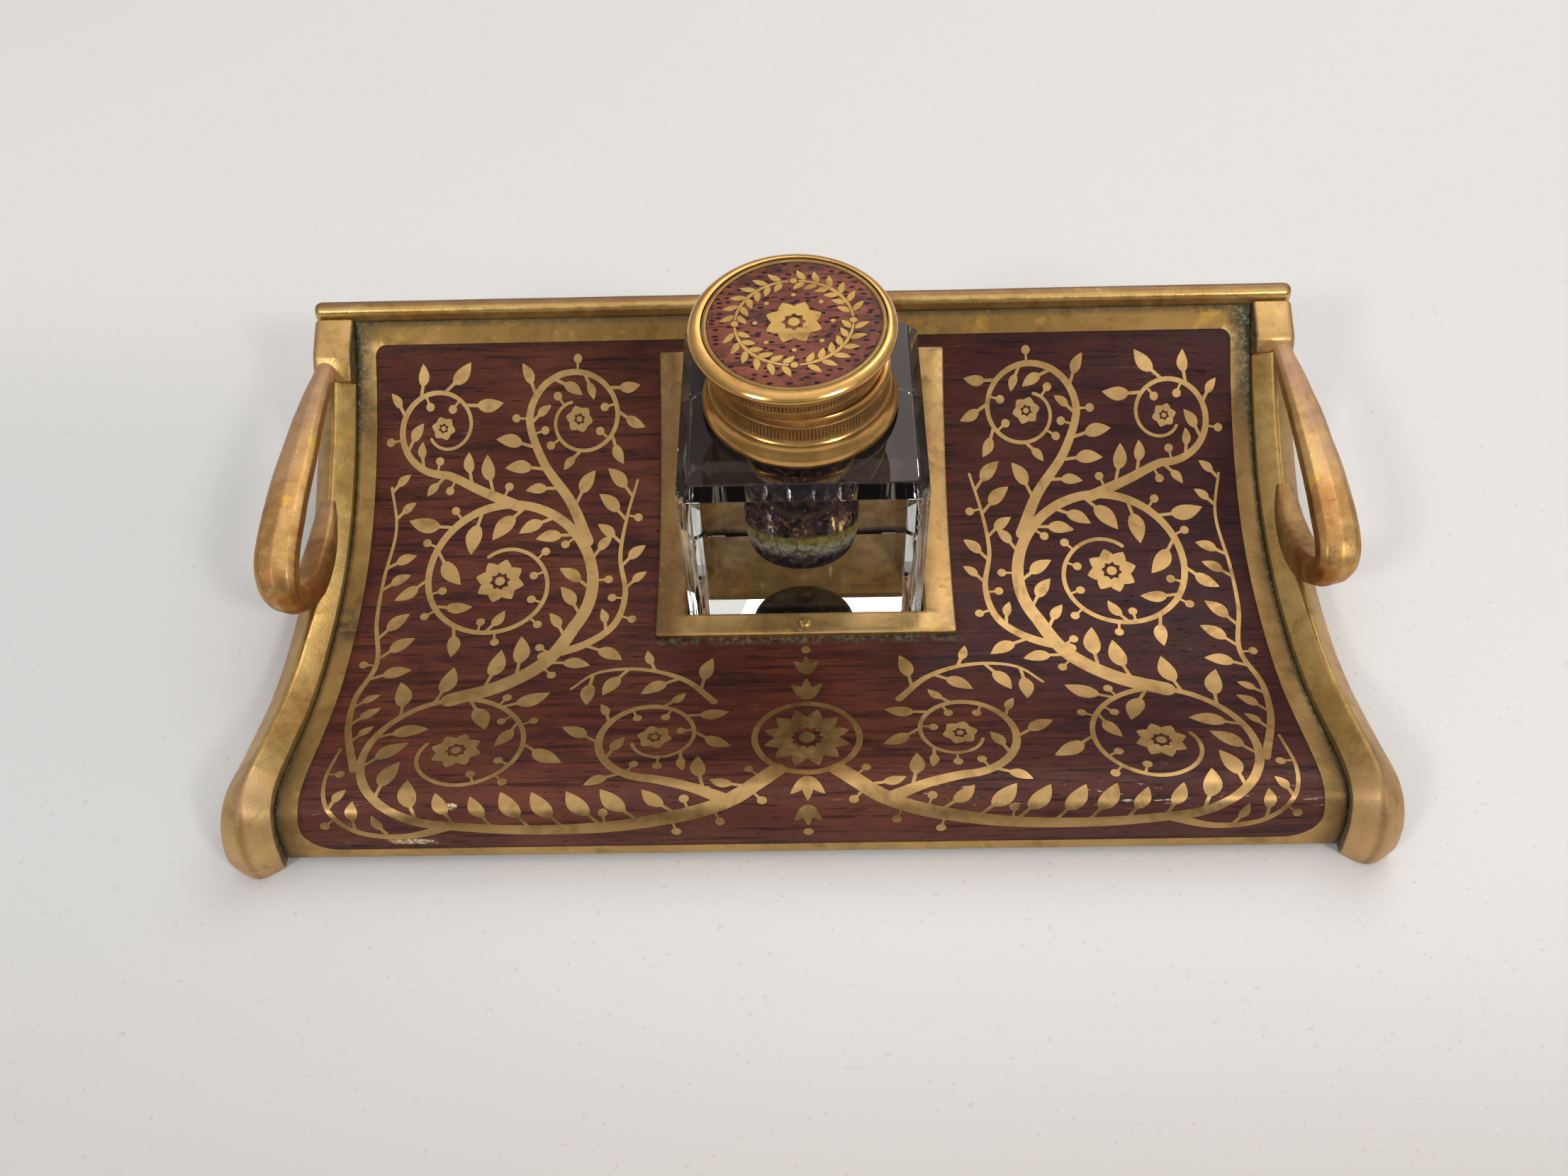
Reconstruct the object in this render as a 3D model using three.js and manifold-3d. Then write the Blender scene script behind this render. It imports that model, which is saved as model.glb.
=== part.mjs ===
// Desk inkstand: a wave-shaped wooden board inlaid with brass, carried between two cast
// brass side rails with loop handles, and a square cut-glass well with a hinged lid.
// Millimetres, +Z up, +Y to the back, +X to the right.
import * as THREE from 'three';
import { mergeVertices } from 'three/addons/utils/BufferGeometryUtils.js';
import Module from 'manifold-3d';

const wasm = await Module();
wasm.setup();

// ------------------------------------------------------------------ dimensions
const Y_SHIFT = -74.51;      // places the middle of the outline's depth at y = 0
const GAP = 0.3;             // clearance between neighbouring pieces

const BOARD_HALF = 129.0;    // half width of the board
const RAIL_IN = 129.3;       // inner face of a side rail
const RAIL_OUT = 140.0;      // outer face of a side rail
const RAIL_T = 6.3;          // rail depth below its inner top edge
const RAIL_RIDGE = 3.8;      // height of the gabled ridge over the rail's edges
const FOOT_FLARE = 2.4;      // how far the rolled foot swells outward

const SURF = -1.8;           // board surface, below the rail's inner top edge
const SKIN_T = 1.0;          // veneer and inlaid brass
const CORE_T = 2.9;          // bent wooden core
const STRIP_T = 1.0;         // brass strips that carry the board
const BORDER = 5.6;          // width of the inlaid brass border
const CORNER_FRONT = 9.0;    // rounding of the border's inner corners
const CORNER_BACK = 3.0;

const WELL_Y = 101.5;        // centre of the glass well
const WELL_X = 0.0;
const GLASS = 64.0;          // side of the square glass block
const GLASS_Z0 = 2.0;        // underside of the glass
const GLASS_Z1 = 56.0;       // top of the glass
const GLASS_CORNER = 2.4;    // chamfer of the standing edges
const GLASS_BEVEL = 2.8;     // bevel round the top face
const GLASS_BEVEL_H = 3.5;
const HOLLOW_R = 15.1;       // ink hollow at its mouth
const HOLLOW_X = -0.5;       // the hollow sits a little to the left in the glass
const HOLLOW_Z = 9.6;       // bottom of the ink hollow
const FRAME_OPEN = 65.6;     // opening of the square frame plate
const FRAME_SIZE = 81.6;     // outside of the square frame plate
const FRAME_T = 1.2;
const LINER_OUT = 67.0;      // brass box under the board that holds the glass
const LINER_T = 0.9;
const LINER_Z0 = 0.8;
const BOARD_HOLE = 67.6;

const COLLAR_X = -0.3;
const COLLAR_R = 25.5;       // foot flange of the collar
const COLLAR_Z0 = 57.3;
const COLLAR_Z1 = 71.6;
const COLLAR_BORE = 20.4;
const LID_R = 26.0;          // beaded rim of the lid
const LID_SKIRT = 22.8;
const LID_Z0 = 72.95;        // lower edge of the lid at its centre
const LID_SHIFT = [-1.4, -0.7]; // the lid sits a little to the left and front on its worn pin
const LID_TILT_Y = 1.2;      // degrees, right side up
const LID_TILT_X = 2.2;      // degrees, back up
const HINGE_Y = 25.6;        // hinge axis behind the collar's centre
const HINGE_Z = 71.9;
const KNUCKLE_R = 1.9;
const PIN_R = 0.9;

const BACK_Y0 = 149.6;       // front face of the back rail
const BACK_T = 4.8;
const BACK_TOP = 47.9;

// ------------------------------------------------------------------ helpers
const root = new THREE.Group();
root.position.y = Y_SHIFT;
const lidGroup = new THREE.Group();
lidGroup.position.set(COLLAR_X + LID_SHIFT[0], WELL_Y + LID_SHIFT[1], LID_Z0);
lidGroup.rotation.y = -THREE.MathUtils.degToRad(LID_TILT_Y);
lidGroup.rotation.x = THREE.MathUtils.degToRad(LID_TILT_X);
root.add(lidGroup);

function add(name, geometry, color, roughness, metalness, parent = root, extra = {}) {
  const mesh = new THREE.Mesh(geometry, new THREE.MeshStandardMaterial({ color, roughness, metalness, ...extra }));
  mesh.name = name;
  parent.add(mesh);
  return mesh;
}

function solid(geometry) {
  let g = geometry.clone();
  g.deleteAttribute('normal');
  g.deleteAttribute('uv');
  g = mergeVertices(g, 1e-4);
  return new wasm.Manifold(new wasm.Mesh({
    numProp: 3,
    vertProperties: new Float32Array(g.attributes.position.array),
    triVerts: new Uint32Array(g.index.array),
  }));
}

function shapeOf(manifold) {
  const m = manifold.getMesh();
  const g = new THREE.BufferGeometry();
  g.setAttribute('position', new THREE.BufferAttribute(new Float32Array(m.vertProperties), 3));
  g.setIndex(new THREE.BufferAttribute(new Uint32Array(m.triVerts), 1));
  g.computeVertexNormals();
  return g;
}

// polygon given as [y, z] pairs, extruded along X
const YZ_TO_X = new THREE.Matrix4().set(0, 0, 1, 0, 1, 0, 0, 0, 0, 1, 0, 0, 0, 0, 0, 1);
function extrudeX(points, x0, x1) {
  const s = new THREE.Shape(points.map(([y, z]) => new THREE.Vector2(y, z)));
  const g = new THREE.ExtrudeGeometry(s, { depth: x1 - x0, bevelEnabled: false, steps: 1 });
  g.translate(0, 0, x0);
  g.applyMatrix4(YZ_TO_X);
  return g;
}

// polygon given as [x, y] pairs, extruded along Z
function extrudeZ(points, z0, z1) {
  const s = new THREE.Shape(points.map(([x, y]) => new THREE.Vector2(x, y)));
  const g = new THREE.ExtrudeGeometry(s, { depth: z1 - z0, bevelEnabled: false, steps: 1 });
  g.translate(0, 0, z0);
  return g;
}

const square = (cx, cy, side) => {
  const h = side / 2;
  return [[cx - h, cy - h], [cx + h, cy - h], [cx + h, cy + h], [cx - h, cy + h]];
};

// rings of equal length joined into one closed body
function loft(rings) {
  const n = rings[0].length;
  const pos = [];
  const idx = [];
  for (const r of rings) for (const p of r) pos.push(p.x, p.y, p.z);
  for (let i = 0; i + 1 < rings.length; i++) {
    for (let j = 0; j < n; j++) {
      const a = i * n + j, b = i * n + (j + 1) % n, c = a + n, d = b + n;
      idx.push(a, b, c, b, d, c);
    }
  }
  const cap = (k, flip) => {
    const c = new THREE.Vector3();
    for (const p of rings[k]) c.add(p);
    c.divideScalar(n);
    const ci = pos.length / 3;
    pos.push(c.x, c.y, c.z);
    for (let j = 0; j < n; j++) {
      const a = k * n + j, b = k * n + (j + 1) % n;
      if (flip) idx.push(ci, b, a); else idx.push(ci, a, b);
    }
  };
  cap(0, true);
  cap(rings.length - 1, false);
  const g = new THREE.BufferGeometry();
  g.setAttribute('position', new THREE.Float32BufferAttribute(pos, 3));
  g.setIndex(idx);
  // turn the faces out if the loft ran the other way
  let v = 0;
  const P = (i) => new THREE.Vector3(pos[3 * i], pos[3 * i + 1], pos[3 * i + 2]);
  for (let i = 0; i < idx.length; i += 3) v += P(idx[i]).dot(P(idx[i + 1]).cross(P(idx[i + 2])));
  if (v < 0) for (let i = 0; i < idx.length; i += 3) [idx[i], idx[i + 1]] = [idx[i + 1], idx[i]];
  g.setIndex(idx);
  g.computeVertexNormals();
  return g;
}

function mirrorX(g) {
  const m = g.clone().applyMatrix4(new THREE.Matrix4().makeScale(-1, 1, 1));
  const i = m.index.array;
  for (let k = 0; k < i.length; k += 3) [i[k], i[k + 1]] = [i[k + 1], i[k]];
  m.computeVertexNormals();
  return m;
}

function lathe(profile, segments) {
  const g = new THREE.LatheGeometry(profile.map(([r, z]) => new THREE.Vector2(r, z)), segments);
  g.rotateX(Math.PI / 2);
  return g;
}

const smooth = (a, b, t) => {
  const u = Math.min(1, Math.max(0, (t - a) / (b - a)));
  return u * u * (3 - 2 * u);
};

// ------------------------------------------------------------------ the wave
// Side view of a rail's inner top edge, from the front foot over the roll, through the
// valley and up to the back, as [y, z].
const WAVE = [
  [-2.2, 0], [-2.9, 4], [-2.6, 8.2], [-1.6, 12.3], [0.3, 16], [3.2, 18.8], [7.2, 20.0],
  [12, 19.5], [20, 17.1], [30, 13.7], [40, 10.7], [50, 8.8], [60, 7.9], [70, 7.8],
  [80, 8.4], [90, 10.1], [100, 13.0], [110, 17.2], [120, 22.4], [130, 28.5], [140, 35.5],
  [145, 39.4], [150.5, 43.8],
];
const waveCurve = new THREE.CatmullRomCurve3(WAVE.map(([y, z]) => new THREE.Vector3(0, y, z)), false, 'centripetal');
waveCurve.arcLengthDivisions = 800;
const WAVE_LEN = waveCurve.getLength();
function station(s) {
  const u = Math.min(1, Math.max(0, s / WAVE_LEN));
  const p = waveCurve.getPointAt(u);
  const t = waveCurve.getTangentAt(u);
  return { y: p.y, z: p.z, ny: -t.z, nz: t.y };
}
// the board follows the rails' wave, but climbs above it a little towards its back edge
const climb = (s) => 3.5 * Math.max(0, (s - 120) / 56) ** 3;
const atRail = (s, h) => { const q = station(s); return [q.y + h * q.ny, q.z + h * q.nz]; };
const at = (s, h) => { const [y, z] = atRail(s, h); return [y, z + climb(s)]; };
function sOfY(y) {               // arc length where the wave passes y, behind the roll
  let lo = 20, hi = WAVE_LEN;
  for (let i = 0; i < 50; i++) { const m = (lo + hi) / 2; if (station(m).y < y) lo = m; else hi = m; }
  return (lo + hi) / 2;
}
// arc lengths closer together on the roll than on the long rise
function stations(s0, s1, fine = 1.7, coarse = 5.2) {
  const out = [s0];
  let s = s0;
  while (s < s1 - 1e-6) {
    const step = fine + (coarse - fine) * smooth(18, 42, s);
    s = Math.min(s1, s + step);
    if (s1 - s < step * 0.4) s = s1;
    out.push(s);
  }
  return out;
}
// band between two heights over the wave, as a closed side outline
function band(s0, s1, h0, h1, fine, coarse) {
  const ss = stations(s0, s1, fine, coarse);
  const top = ss.map((s) => at(s, h1));
  const bottom = ss.map((s) => at(s, h0)).reverse();
  return [...top, ...bottom];
}
const S_FRONT = 1.5;                        // lower front edge of the board
const S_BACK = WAVE_LEN;                    // the back edge is trimmed plumb against the back rail

// ------------------------------------------------------------------ board
const SKIN_B = SURF - SKIN_T;
const CORE_TOP = SKIN_B - GAP;
const CORE_BOT = CORE_TOP - CORE_T;
const STRIP_TOP = CORE_BOT - GAP;
const STRIP_BOT = STRIP_TOP - STRIP_T;

const wellHole = solid(extrudeZ(square(WELL_X, WELL_Y, BOARD_HOLE), -5, 70));
const FRONT_SCREW = sOfY(WELL_Y - FRAME_OPEN / 2 - 4.1);
const BACK_SCREW = sOfY(WELL_Y + FRAME_OPEN / 2 + 3.4);
function screwFrame(s, h) {                 // a placement whose +Z is the wave's normal
  const q = station(s);
  const m = new THREE.Matrix4().makeRotationX(Math.atan2(-q.ny, q.nz));
  m.setPosition(WELL_X, q.y + h * q.ny, q.z + h * q.nz + climb(s));
  return m;
}
function shaftHole(s, r) {
  const g = new THREE.CylinderGeometry(r, r, 12, 20);
  g.rotateX(Math.PI / 2);
  g.applyMatrix4(screwFrame(s, SURF - 3));
  return solid(g);
}
const screwHoles = shaftHole(FRONT_SCREW, 1.4).add(shaftHole(BACK_SCREW, 1.4));

const behind = solid(extrudeX([[BACK_Y0 - GAP, -10], [200, -10], [200, 80], [BACK_Y0 - GAP, 80]], -200, 200));

const core = solid(extrudeX(band(S_FRONT, S_BACK, CORE_BOT, CORE_TOP, 2.2, 5.2), -BOARD_HALF, BOARD_HALF))
  .subtract(wellHole).subtract(screwHoles).subtract(behind);

const skin = solid(extrudeX(band(S_FRONT, S_BACK, SKIN_B, SURF, 2.2, 5.2), -BOARD_HALF, BOARD_HALF))
  .subtract(wellHole).subtract(screwHoles).subtract(behind);
const fieldHalf = BOARD_HALF - BORDER;
const F0 = S_FRONT + 5.4, F1 = S_BACK - 9.4;
// the border's inner corners are rounded: stacked bands step in towards the ends of the field
function roundedField(grow, h0, h1) {
  const steps = (r, n) => Array.from({ length: n + 1 }, (_, i) => i / n).map((t) => [r * (1 - Math.sin(t * Math.PI / 2)), r * (1 - Math.cos(t * Math.PI / 2))]);
  const s0 = F0 - grow, s1 = F1 + grow, half = fieldHalf + grow;
  let body = solid(extrudeX(band(s0 + CORNER_FRONT, s1 - CORNER_BACK, h0, h1, 2.2, 5.2), -half, half));
  const cap = (s, dir, r, n) => {
    const st = steps(r, n);
    for (let i = 0; i < n; i++) {
      const a = s + dir * st[i][0], b = s + dir * (st[i + 1][0]);
      const lo = Math.min(a, b) - 0.004, hi = Math.max(a, b) + 0.004;
      const inset = (st[i][1] + st[i + 1][1]) / 2;
      body = body.add(solid(extrudeX(band(lo, hi, h0, h1, 2.2, 5.2), -half + inset, half - inset)));
    }
  };
  cap(s0, 1, CORNER_FRONT, 6);
  cap(s1, -1, CORNER_BACK, 3);
  return body;
}
const field = roundedField(0, SKIN_B - 0.15, SURF + 0.6);
const fieldWide = roundedField(GAP, SKIN_B - 0.4, SURF + 0.9);
add('board_core', shapeOf(core), 0x6b3d26, 0.7, 0);
add('veneer_panel', shapeOf(skin.intersect(field)), 0x5f3228, 0.4, 0);
add('brass_border', shapeOf(skin.subtract(fieldWide)), 0xb28e4e, 0.35, 0.9);

// ------------------------------------------------------------------ side rails
function railRing(s, grow = 0) {
  const q = station(s);
  const foot = 1 - smooth(4, 38, s);
  const out = RAIL_OUT + FOOT_FLARE * foot + grow;
  const inn = RAIL_IN - grow + 0.8 * (1 - smooth(0, 8, s));
  const mid = (inn + out) / 2 + 0.3 * foot;
  const ho = 0.9 * foot * smooth(0, 8, s) + grow;
  const end = 1 - smooth(4, 26, s);          // the ridge rounds off towards the tip of the foot
  const hr = RAIL_RIDGE + 0.5 * foot * smooth(0, 8, s) - 0.2 * end + grow;
  const sh = 1.3 + 1.5 * end, dh = 0.55 + 0.25 * end;
  const pts = [
    [inn, -RAIL_T + 0.7 - grow], [inn, grow], [mid - sh, hr - dh], [mid, hr], [mid + sh, hr - dh],
    [out - 0.35, ho + 0.1], [out, ho - 0.5], [out, -RAIL_T + 0.9 - grow], [out - 0.9, -RAIL_T - grow], [inn + 0.7, -RAIL_T - grow],
  ];
  return pts.map(([x, h]) => new THREE.Vector3(x, q.y + h * q.ny, q.z + h * q.nz));
}
// the two castings differ a little: where the rail meets its corner block, and the handle's knee
const RAIL_END = { left: sOfY(135.4), right: sOfY(138.2) };
function railGeometry(end, grow = 0) {
  const ss = stations(0, end, 1.5, 5.0);
  return loft(ss.map((s) => railRing(s, grow)));
}
// keep the foot flat on the table
const below = solid(extrudeZ([[-200, -60], [200, -60], [200, 200], [-200, 200]], -20, 0));
const onItsSide = (side, g) => (side === 'left' ? mirrorX(g) : g);
for (const side of ['right', 'left']) {
  add(`${side}_rail`, onItsSide(side, shapeOf(solid(railGeometry(RAIL_END[side])).subtract(below))), 0xae8848, 0.33, 0.95);
}

// rear posts: the square corner blocks, carried down to the table as legs
const slip = GAP + 0.02;
function postRaw(side) {
  const end = station(RAIL_END[side]);
  const top = atRail(RAIL_END[side], RAIL_RIDGE);
  const bot = atRail(RAIL_END[side], -RAIL_T);
  const ty = end.nz, tz = -end.ny;           // direction of the rail at its end
  return solid(extrudeX([
    [bot[0] + slip * ty, bot[1] + slip * tz],
    [top[0] + slip * ty, top[1] + slip * tz],
    [138.0, 40.4], [139.6, 41.4], [141.6, 42.2], [149.2, 45.3],
    [149.3, 30.0], [149.3, 14.0], [149.7, 6.0], [150.6, 2.2], [150.9, 0.0],
    [141.4, 0.0], [141.9, 2.2], [142.9, 6.0], [143.4, 14.0], [143.2, 21.0], [142.7, 25.0],
  ], RAIL_IN, RAIL_OUT + 0.4));
}
// bevel the post's upper outer edge and narrow its leg towards the foot
const postBevel = solid(loft([[0, 0], [200, 0]].map(([y]) => [
  new THREE.Vector3(140.5, y, 60), new THREE.Vector3(139.0, y, 60), new THREE.Vector3(141.0, y, -60), new THREE.Vector3(144, y, -60), new THREE.Vector3(144, y, 60),
]))).translate([0.55, 0, 0]);
for (const side of ['right', 'left']) {
  add(`${side}_rear_post`, onItsSide(side, shapeOf(postRaw(side).subtract(postBevel))), 0xa98345, 0.36, 0.95);
}

// ------------------------------------------------------------------ loop handles
// [y, z, half thickness, inner x, outer x] along the middle of the bar, from the rear
// post forward, over the knee and back down into the rail
const ARM_REAR = [
  [144.2, 35.2, 2.4, 134.6, 139.6],
  [140.5, 36.0, 2.4, 134.5, 139.6],
  [136.5, 37.0, 2.5, 134.2, 139.4],
  [131.0, 37.9, 2.6, 133.8, 139.4],
  [124.0, 38.8, 2.7, 133.2, 139.9],
  [116.0, 39.3, 2.8, 132.7, 140.4],
  [107.0, 39.4, 2.9, 132.2, 141.0],
  [98.0, 39.2, 3.0, 131.9, 141.4],
  [89.0, 38.8, 3.1, 131.6, 141.8],
  [80.5, 38.0, 3.2, 131.4, 142.1],
];
const ARM = {
  left: [
    ...ARM_REAR,
    [73.5, 36.9, 3.3, 131.3, 142.2],
    [68.0, 35.3, 3.4, 131.2, 142.1],
    [64.2, 33.0, 3.5, 131.2, 141.8],
    [62.2, 30.2, 3.5, 131.2, 141.3],
    [62.1, 26.9, 3.6, 131.2, 140.8],
    [63.8, 23.4, 3.8, 131.2, 140.4],
    [67.0, 20.0, 4.1, 131.2, 140.2],
    [71.4, 16.7, 4.3, 131.3, 140.0],
    [77.0, 14.3, 4.4, 131.4, 139.9],
    [84.0, 13.1, 4.2, 131.5, 139.6],
    [91.0, 13.7, 3.5, 131.7, 139.0],
    [98.0, 15.5, 2.4, 132.2, 138.2],
    [103.0, 17.6, 1.2, 133.0, 137.0],
  ],
  right: [
    ...ARM_REAR,
    [74.2, 37.1, 3.3, 131.3, 142.2],
    [69.0, 35.9, 3.4, 131.2, 142.1],
    [65.7, 34.0, 3.5, 131.2, 141.9],
    [64.1, 31.7, 3.5, 131.2, 141.5],
    [64.1, 28.8, 3.6, 131.2, 141.0],
    [65.8, 25.5, 3.8, 131.2, 140.6],
    [68.9, 22.0, 4.1, 131.2, 140.3],
    [73.1, 18.5, 4.3, 131.3, 140.1],
    [78.3, 15.7, 4.4, 131.4, 139.9],
    [84.6, 14.0, 4.2, 131.5, 139.6],
    [91.3, 14.1, 3.5, 131.7, 139.0],
    [98.0, 15.6, 2.4, 132.2, 138.2],
    [103.0, 17.6, 1.2, 133.0, 137.0],
  ],
};
function armGeometry(arm) {
  const rings = arm.map(([y, z, t, xi, xo], i) => {
    const a = arm[Math.max(0, i - 1)], b = arm[Math.min(arm.length - 1, i + 1)];
    const d = new THREE.Vector2(b[0] - a[0], b[1] - a[1]).normalize();
    // the outside of the loop: up on the arm, forward on the knee
    const ny = d.y, nz = -d.x;
    const w = xo - xi, m = (xi + xo) / 2;
    const pts = [
      [xi, -0.55 * t], [xi, 0.5 * t], [xi + 0.16 * w, 0.84 * t], [m, 1.05 * t], [xo - 0.16 * w, 0.84 * t],
      [xo, 0.5 * t], [xo, -0.55 * t], [xo - 0.2 * w, -t], [xi + 0.2 * w, -t],
    ];
    return pts.map(([x, h]) => new THREE.Vector3(x, y + h * ny, z + h * nz));
  });
  return loft(rings);
}
for (const side of ['right', 'left']) {
  const post = postRaw(side);
  add(`${side}_handle`, onItsSide(side, shapeOf(solid(armGeometry(ARM[side]))
    .subtract(solid(railGeometry(RAIL_END[side], GAP)))
    .subtract(post.translate([0, -GAP, 0]).add(post)))), 0xb58c52, 0.3, 0.95);
}

// ------------------------------------------------------------------ strips and their screws
const STRIP_S0 = sOfY(16), STRIP_S1 = sOfY(142);
const stripScrewY = [24, 110, 137];
function underHole(y, r, h0, h1, x) {
  const s = sOfY(y), q = station(s);
  const g = new THREE.CylinderGeometry(r, r, h1 - h0, 16);
  g.rotateX(Math.PI / 2);
  g.translate(0, 0, (h0 + h1) / 2);
  const m = new THREE.Matrix4().makeRotationX(Math.atan2(-q.ny, q.nz));
  m.setPosition(x, q.y, q.z + climb(s));
  g.applyMatrix4(m);
  return solid(g);
}
let strip = solid(extrudeX(band(STRIP_S0, STRIP_S1, STRIP_BOT, STRIP_TOP, 4, 5.2), 119.6, BOARD_HALF));
for (const y of stripScrewY) strip = strip.subtract(underHole(y, 1.15, STRIP_BOT - 2, STRIP_TOP + 1, 124.2));
const stripRight = shapeOf(strip);
add('right_support_strip', stripRight, 0x9b7a42, 0.45, 0.9);
add('left_support_strip', mirrorX(stripRight), 0x9b7a42, 0.45, 0.9);
let coreHoles = null;
for (const [side, x] of [['left', -124.2], ['right', 124.2]]) {
  stripScrewY.forEach((y, i) => {
    const hole = underHole(y, 1.15, CORE_BOT - 1, CORE_TOP - 0.9, x);
    coreHoles = coreHoles ? coreHoles.add(hole) : hole;
    const body = underHole(y, 0.8, STRIP_BOT - 0.6, CORE_TOP - 1.2, x)
      .add(underHole(y, 2.1, STRIP_BOT - 1.5, STRIP_BOT - GAP, x));
    add(`${side}_strip_screw_${i + 1}`, shapeOf(body), 0x8d8a84, 0.4, 0.9);
  });
}
root.getObjectByName('board_core').geometry = shapeOf(core.subtract(coreHoles));

// ------------------------------------------------------------------ back rail
const backTop = BACK_TOP;
const BACK = [
  [BACK_Y0, 34.5], [BACK_Y0 + BACK_T, 34.5], [BACK_Y0 + BACK_T, backTop - 2.1], [BACK_Y0 + BACK_T - 0.4, backTop - 0.9],
  [BACK_Y0 + BACK_T - 1.4, backTop - 0.15], [BACK_Y0 + 2.4, backTop], [BACK_Y0 + 1.3, backTop - 0.4], [BACK_Y0 + 0.45, backTop - 1.25], [BACK_Y0, backTop - 2.5],
];
const backScrewX = [-134.8, -70, 70, 134.8];
const backScrewZ = 40.4;
function alongY(r, y0, y1, x, z, seg = 16) {
  const g = new THREE.CylinderGeometry(r, r, y1 - y0, seg);
  g.translate(x, (y0 + y1) / 2, z);
  return solid(g);
}
let back = solid(extrudeX(BACK, -RAIL_OUT - 0.3, RAIL_OUT + 0.3));
for (const x of backScrewX) back = back.subtract(alongY(1.25, BACK_Y0 - 1, BACK_Y0 + BACK_T + 1, x, backScrewZ));
add('back_rail', shapeOf(back), 0xb0894a, 0.33, 0.95);

const BACK_FACE = BACK_Y0 + BACK_T;
backScrewX.forEach((x, i) => {
  const s = alongY(0.95, BACK_Y0 + 0.1, BACK_FACE + 0.6, x, backScrewZ, 14)
    .add(alongY(2.4, BACK_FACE + GAP, BACK_FACE + 1.0, x, backScrewZ, 20))
    .add(alongY(1.7, BACK_FACE + 0.9, BACK_FACE + 1.5, x, backScrewZ, 20))
    .subtract(solid(new THREE.BoxGeometry(6, 0.8, 0.7).translate(x, BACK_FACE + 1.5, backScrewZ)));
  add(`back_rail_screw_${i + 1}`, shapeOf(s), 0x9c7a3e, 0.4, 0.95);
});

// ------------------------------------------------------------------ well frame plate and its screws
const frameS0 = sOfY(WELL_Y - FRAME_SIZE / 2 + 0.9);
const frameS1 = sOfY(WELL_Y + FRAME_SIZE / 2 - 1.9);
const openPlan = solid(extrudeZ(square(WELL_X, WELL_Y, FRAME_OPEN), -5, 70));
const plate = solid(extrudeX(band(frameS0, frameS1, SURF + GAP, SURF + GAP + FRAME_T, 4, 4.2), WELL_X - FRAME_SIZE / 2, WELL_X + FRAME_SIZE / 2))
  .subtract(openPlan).subtract(screwHoles);
add('well_frame', shapeOf(plate), 0xb38f50, 0.32, 0.95);

function roundHeadScrew(s) {
  // head with a rounded crown and a slot, on a plain shank
  const head = lathe([[0, -4.6], [1.1, -4.6], [1.1, 0.2], [1.95, 0.2], [2.0, 0.6], [1.75, 1.1], [1.15, 1.45], [0, 1.6]], 24);
  const slot = solid(new THREE.BoxGeometry(7, 0.6, 1.5).rotateZ(1.2).translate(0, 0, 1.65));
  const g = shapeOf(solid(head).subtract(slot));
  g.applyMatrix4(screwFrame(s, SURF + GAP + FRAME_T + 0.12));
  return g;
}
add('frame_screw_front', roundHeadScrew(FRONT_SCREW), 0xbd9a56, 0.3, 0.95);
add('frame_screw_back', roundHeadScrew(BACK_SCREW), 0xbd9a56, 0.3, 0.95);

// ------------------------------------------------------------------ brass box under the board
const underPlate = solid(extrudeX([
  ...stations(0, WAVE_LEN, 3, 5).map((s) => at(s, SURF)), [160, -20], [-20, -20],
], -60, 60));
const box = solid(extrudeZ(square(WELL_X, WELL_Y, LINER_OUT), LINER_Z0, 62))
  .subtract(solid(extrudeZ(square(WELL_X, WELL_Y, LINER_OUT - 2 * LINER_T), LINER_Z0 + 0.9, 80)))
  .intersect(underPlate);
add('well_box', shapeOf(box), 0x9a7a40, 0.4, 0.95);

// ------------------------------------------------------------------ glass well
const octagon = (half, c, z) => [
  [-half + c, -half], [half - c, -half], [half, -half + c], [half, half - c],
  [half - c, half], [-half + c, half], [-half, half - c], [-half, -half + c],
].map(([x, y]) => new THREE.Vector3(WELL_X + x, WELL_Y + y, z));
const G = GLASS / 2;
const glassRaw = solid(loft([
  octagon(G - 0.8, GLASS_CORNER, GLASS_Z0),
  octagon(G, GLASS_CORNER, GLASS_Z0 + 0.8),
  octagon(G, GLASS_CORNER, GLASS_Z1 - GLASS_BEVEL_H),
  octagon(G - GLASS_BEVEL, 1.2, GLASS_Z1),
]));
const hollow = solid(lathe([
  [0, HOLLOW_Z], [4.4, HOLLOW_Z + 0.3], [7.9, HOLLOW_Z + 1.3], [10.7, HOLLOW_Z + 3.1], [12.8, HOLLOW_Z + 5.8],
  [14.3, HOLLOW_Z + 9.4], [15.0, HOLLOW_Z + 13.9], [15.25, HOLLOW_Z + 20], [15.25, GLASS_Z1 - 14], [15.2, GLASS_Z1 - 6],
  [HOLLOW_R, GLASS_Z1], [HOLLOW_R, GLASS_Z1 + 1], [0, GLASS_Z1 + 1],
], 40)).translate([WELL_X + HOLLOW_X, WELL_Y, 0]);
add('glass_well', shapeOf(glassRaw.subtract(hollow)), 0xe6ece6, 0.05, 0, root, { transparent: true, opacity: 0.4 });

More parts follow.
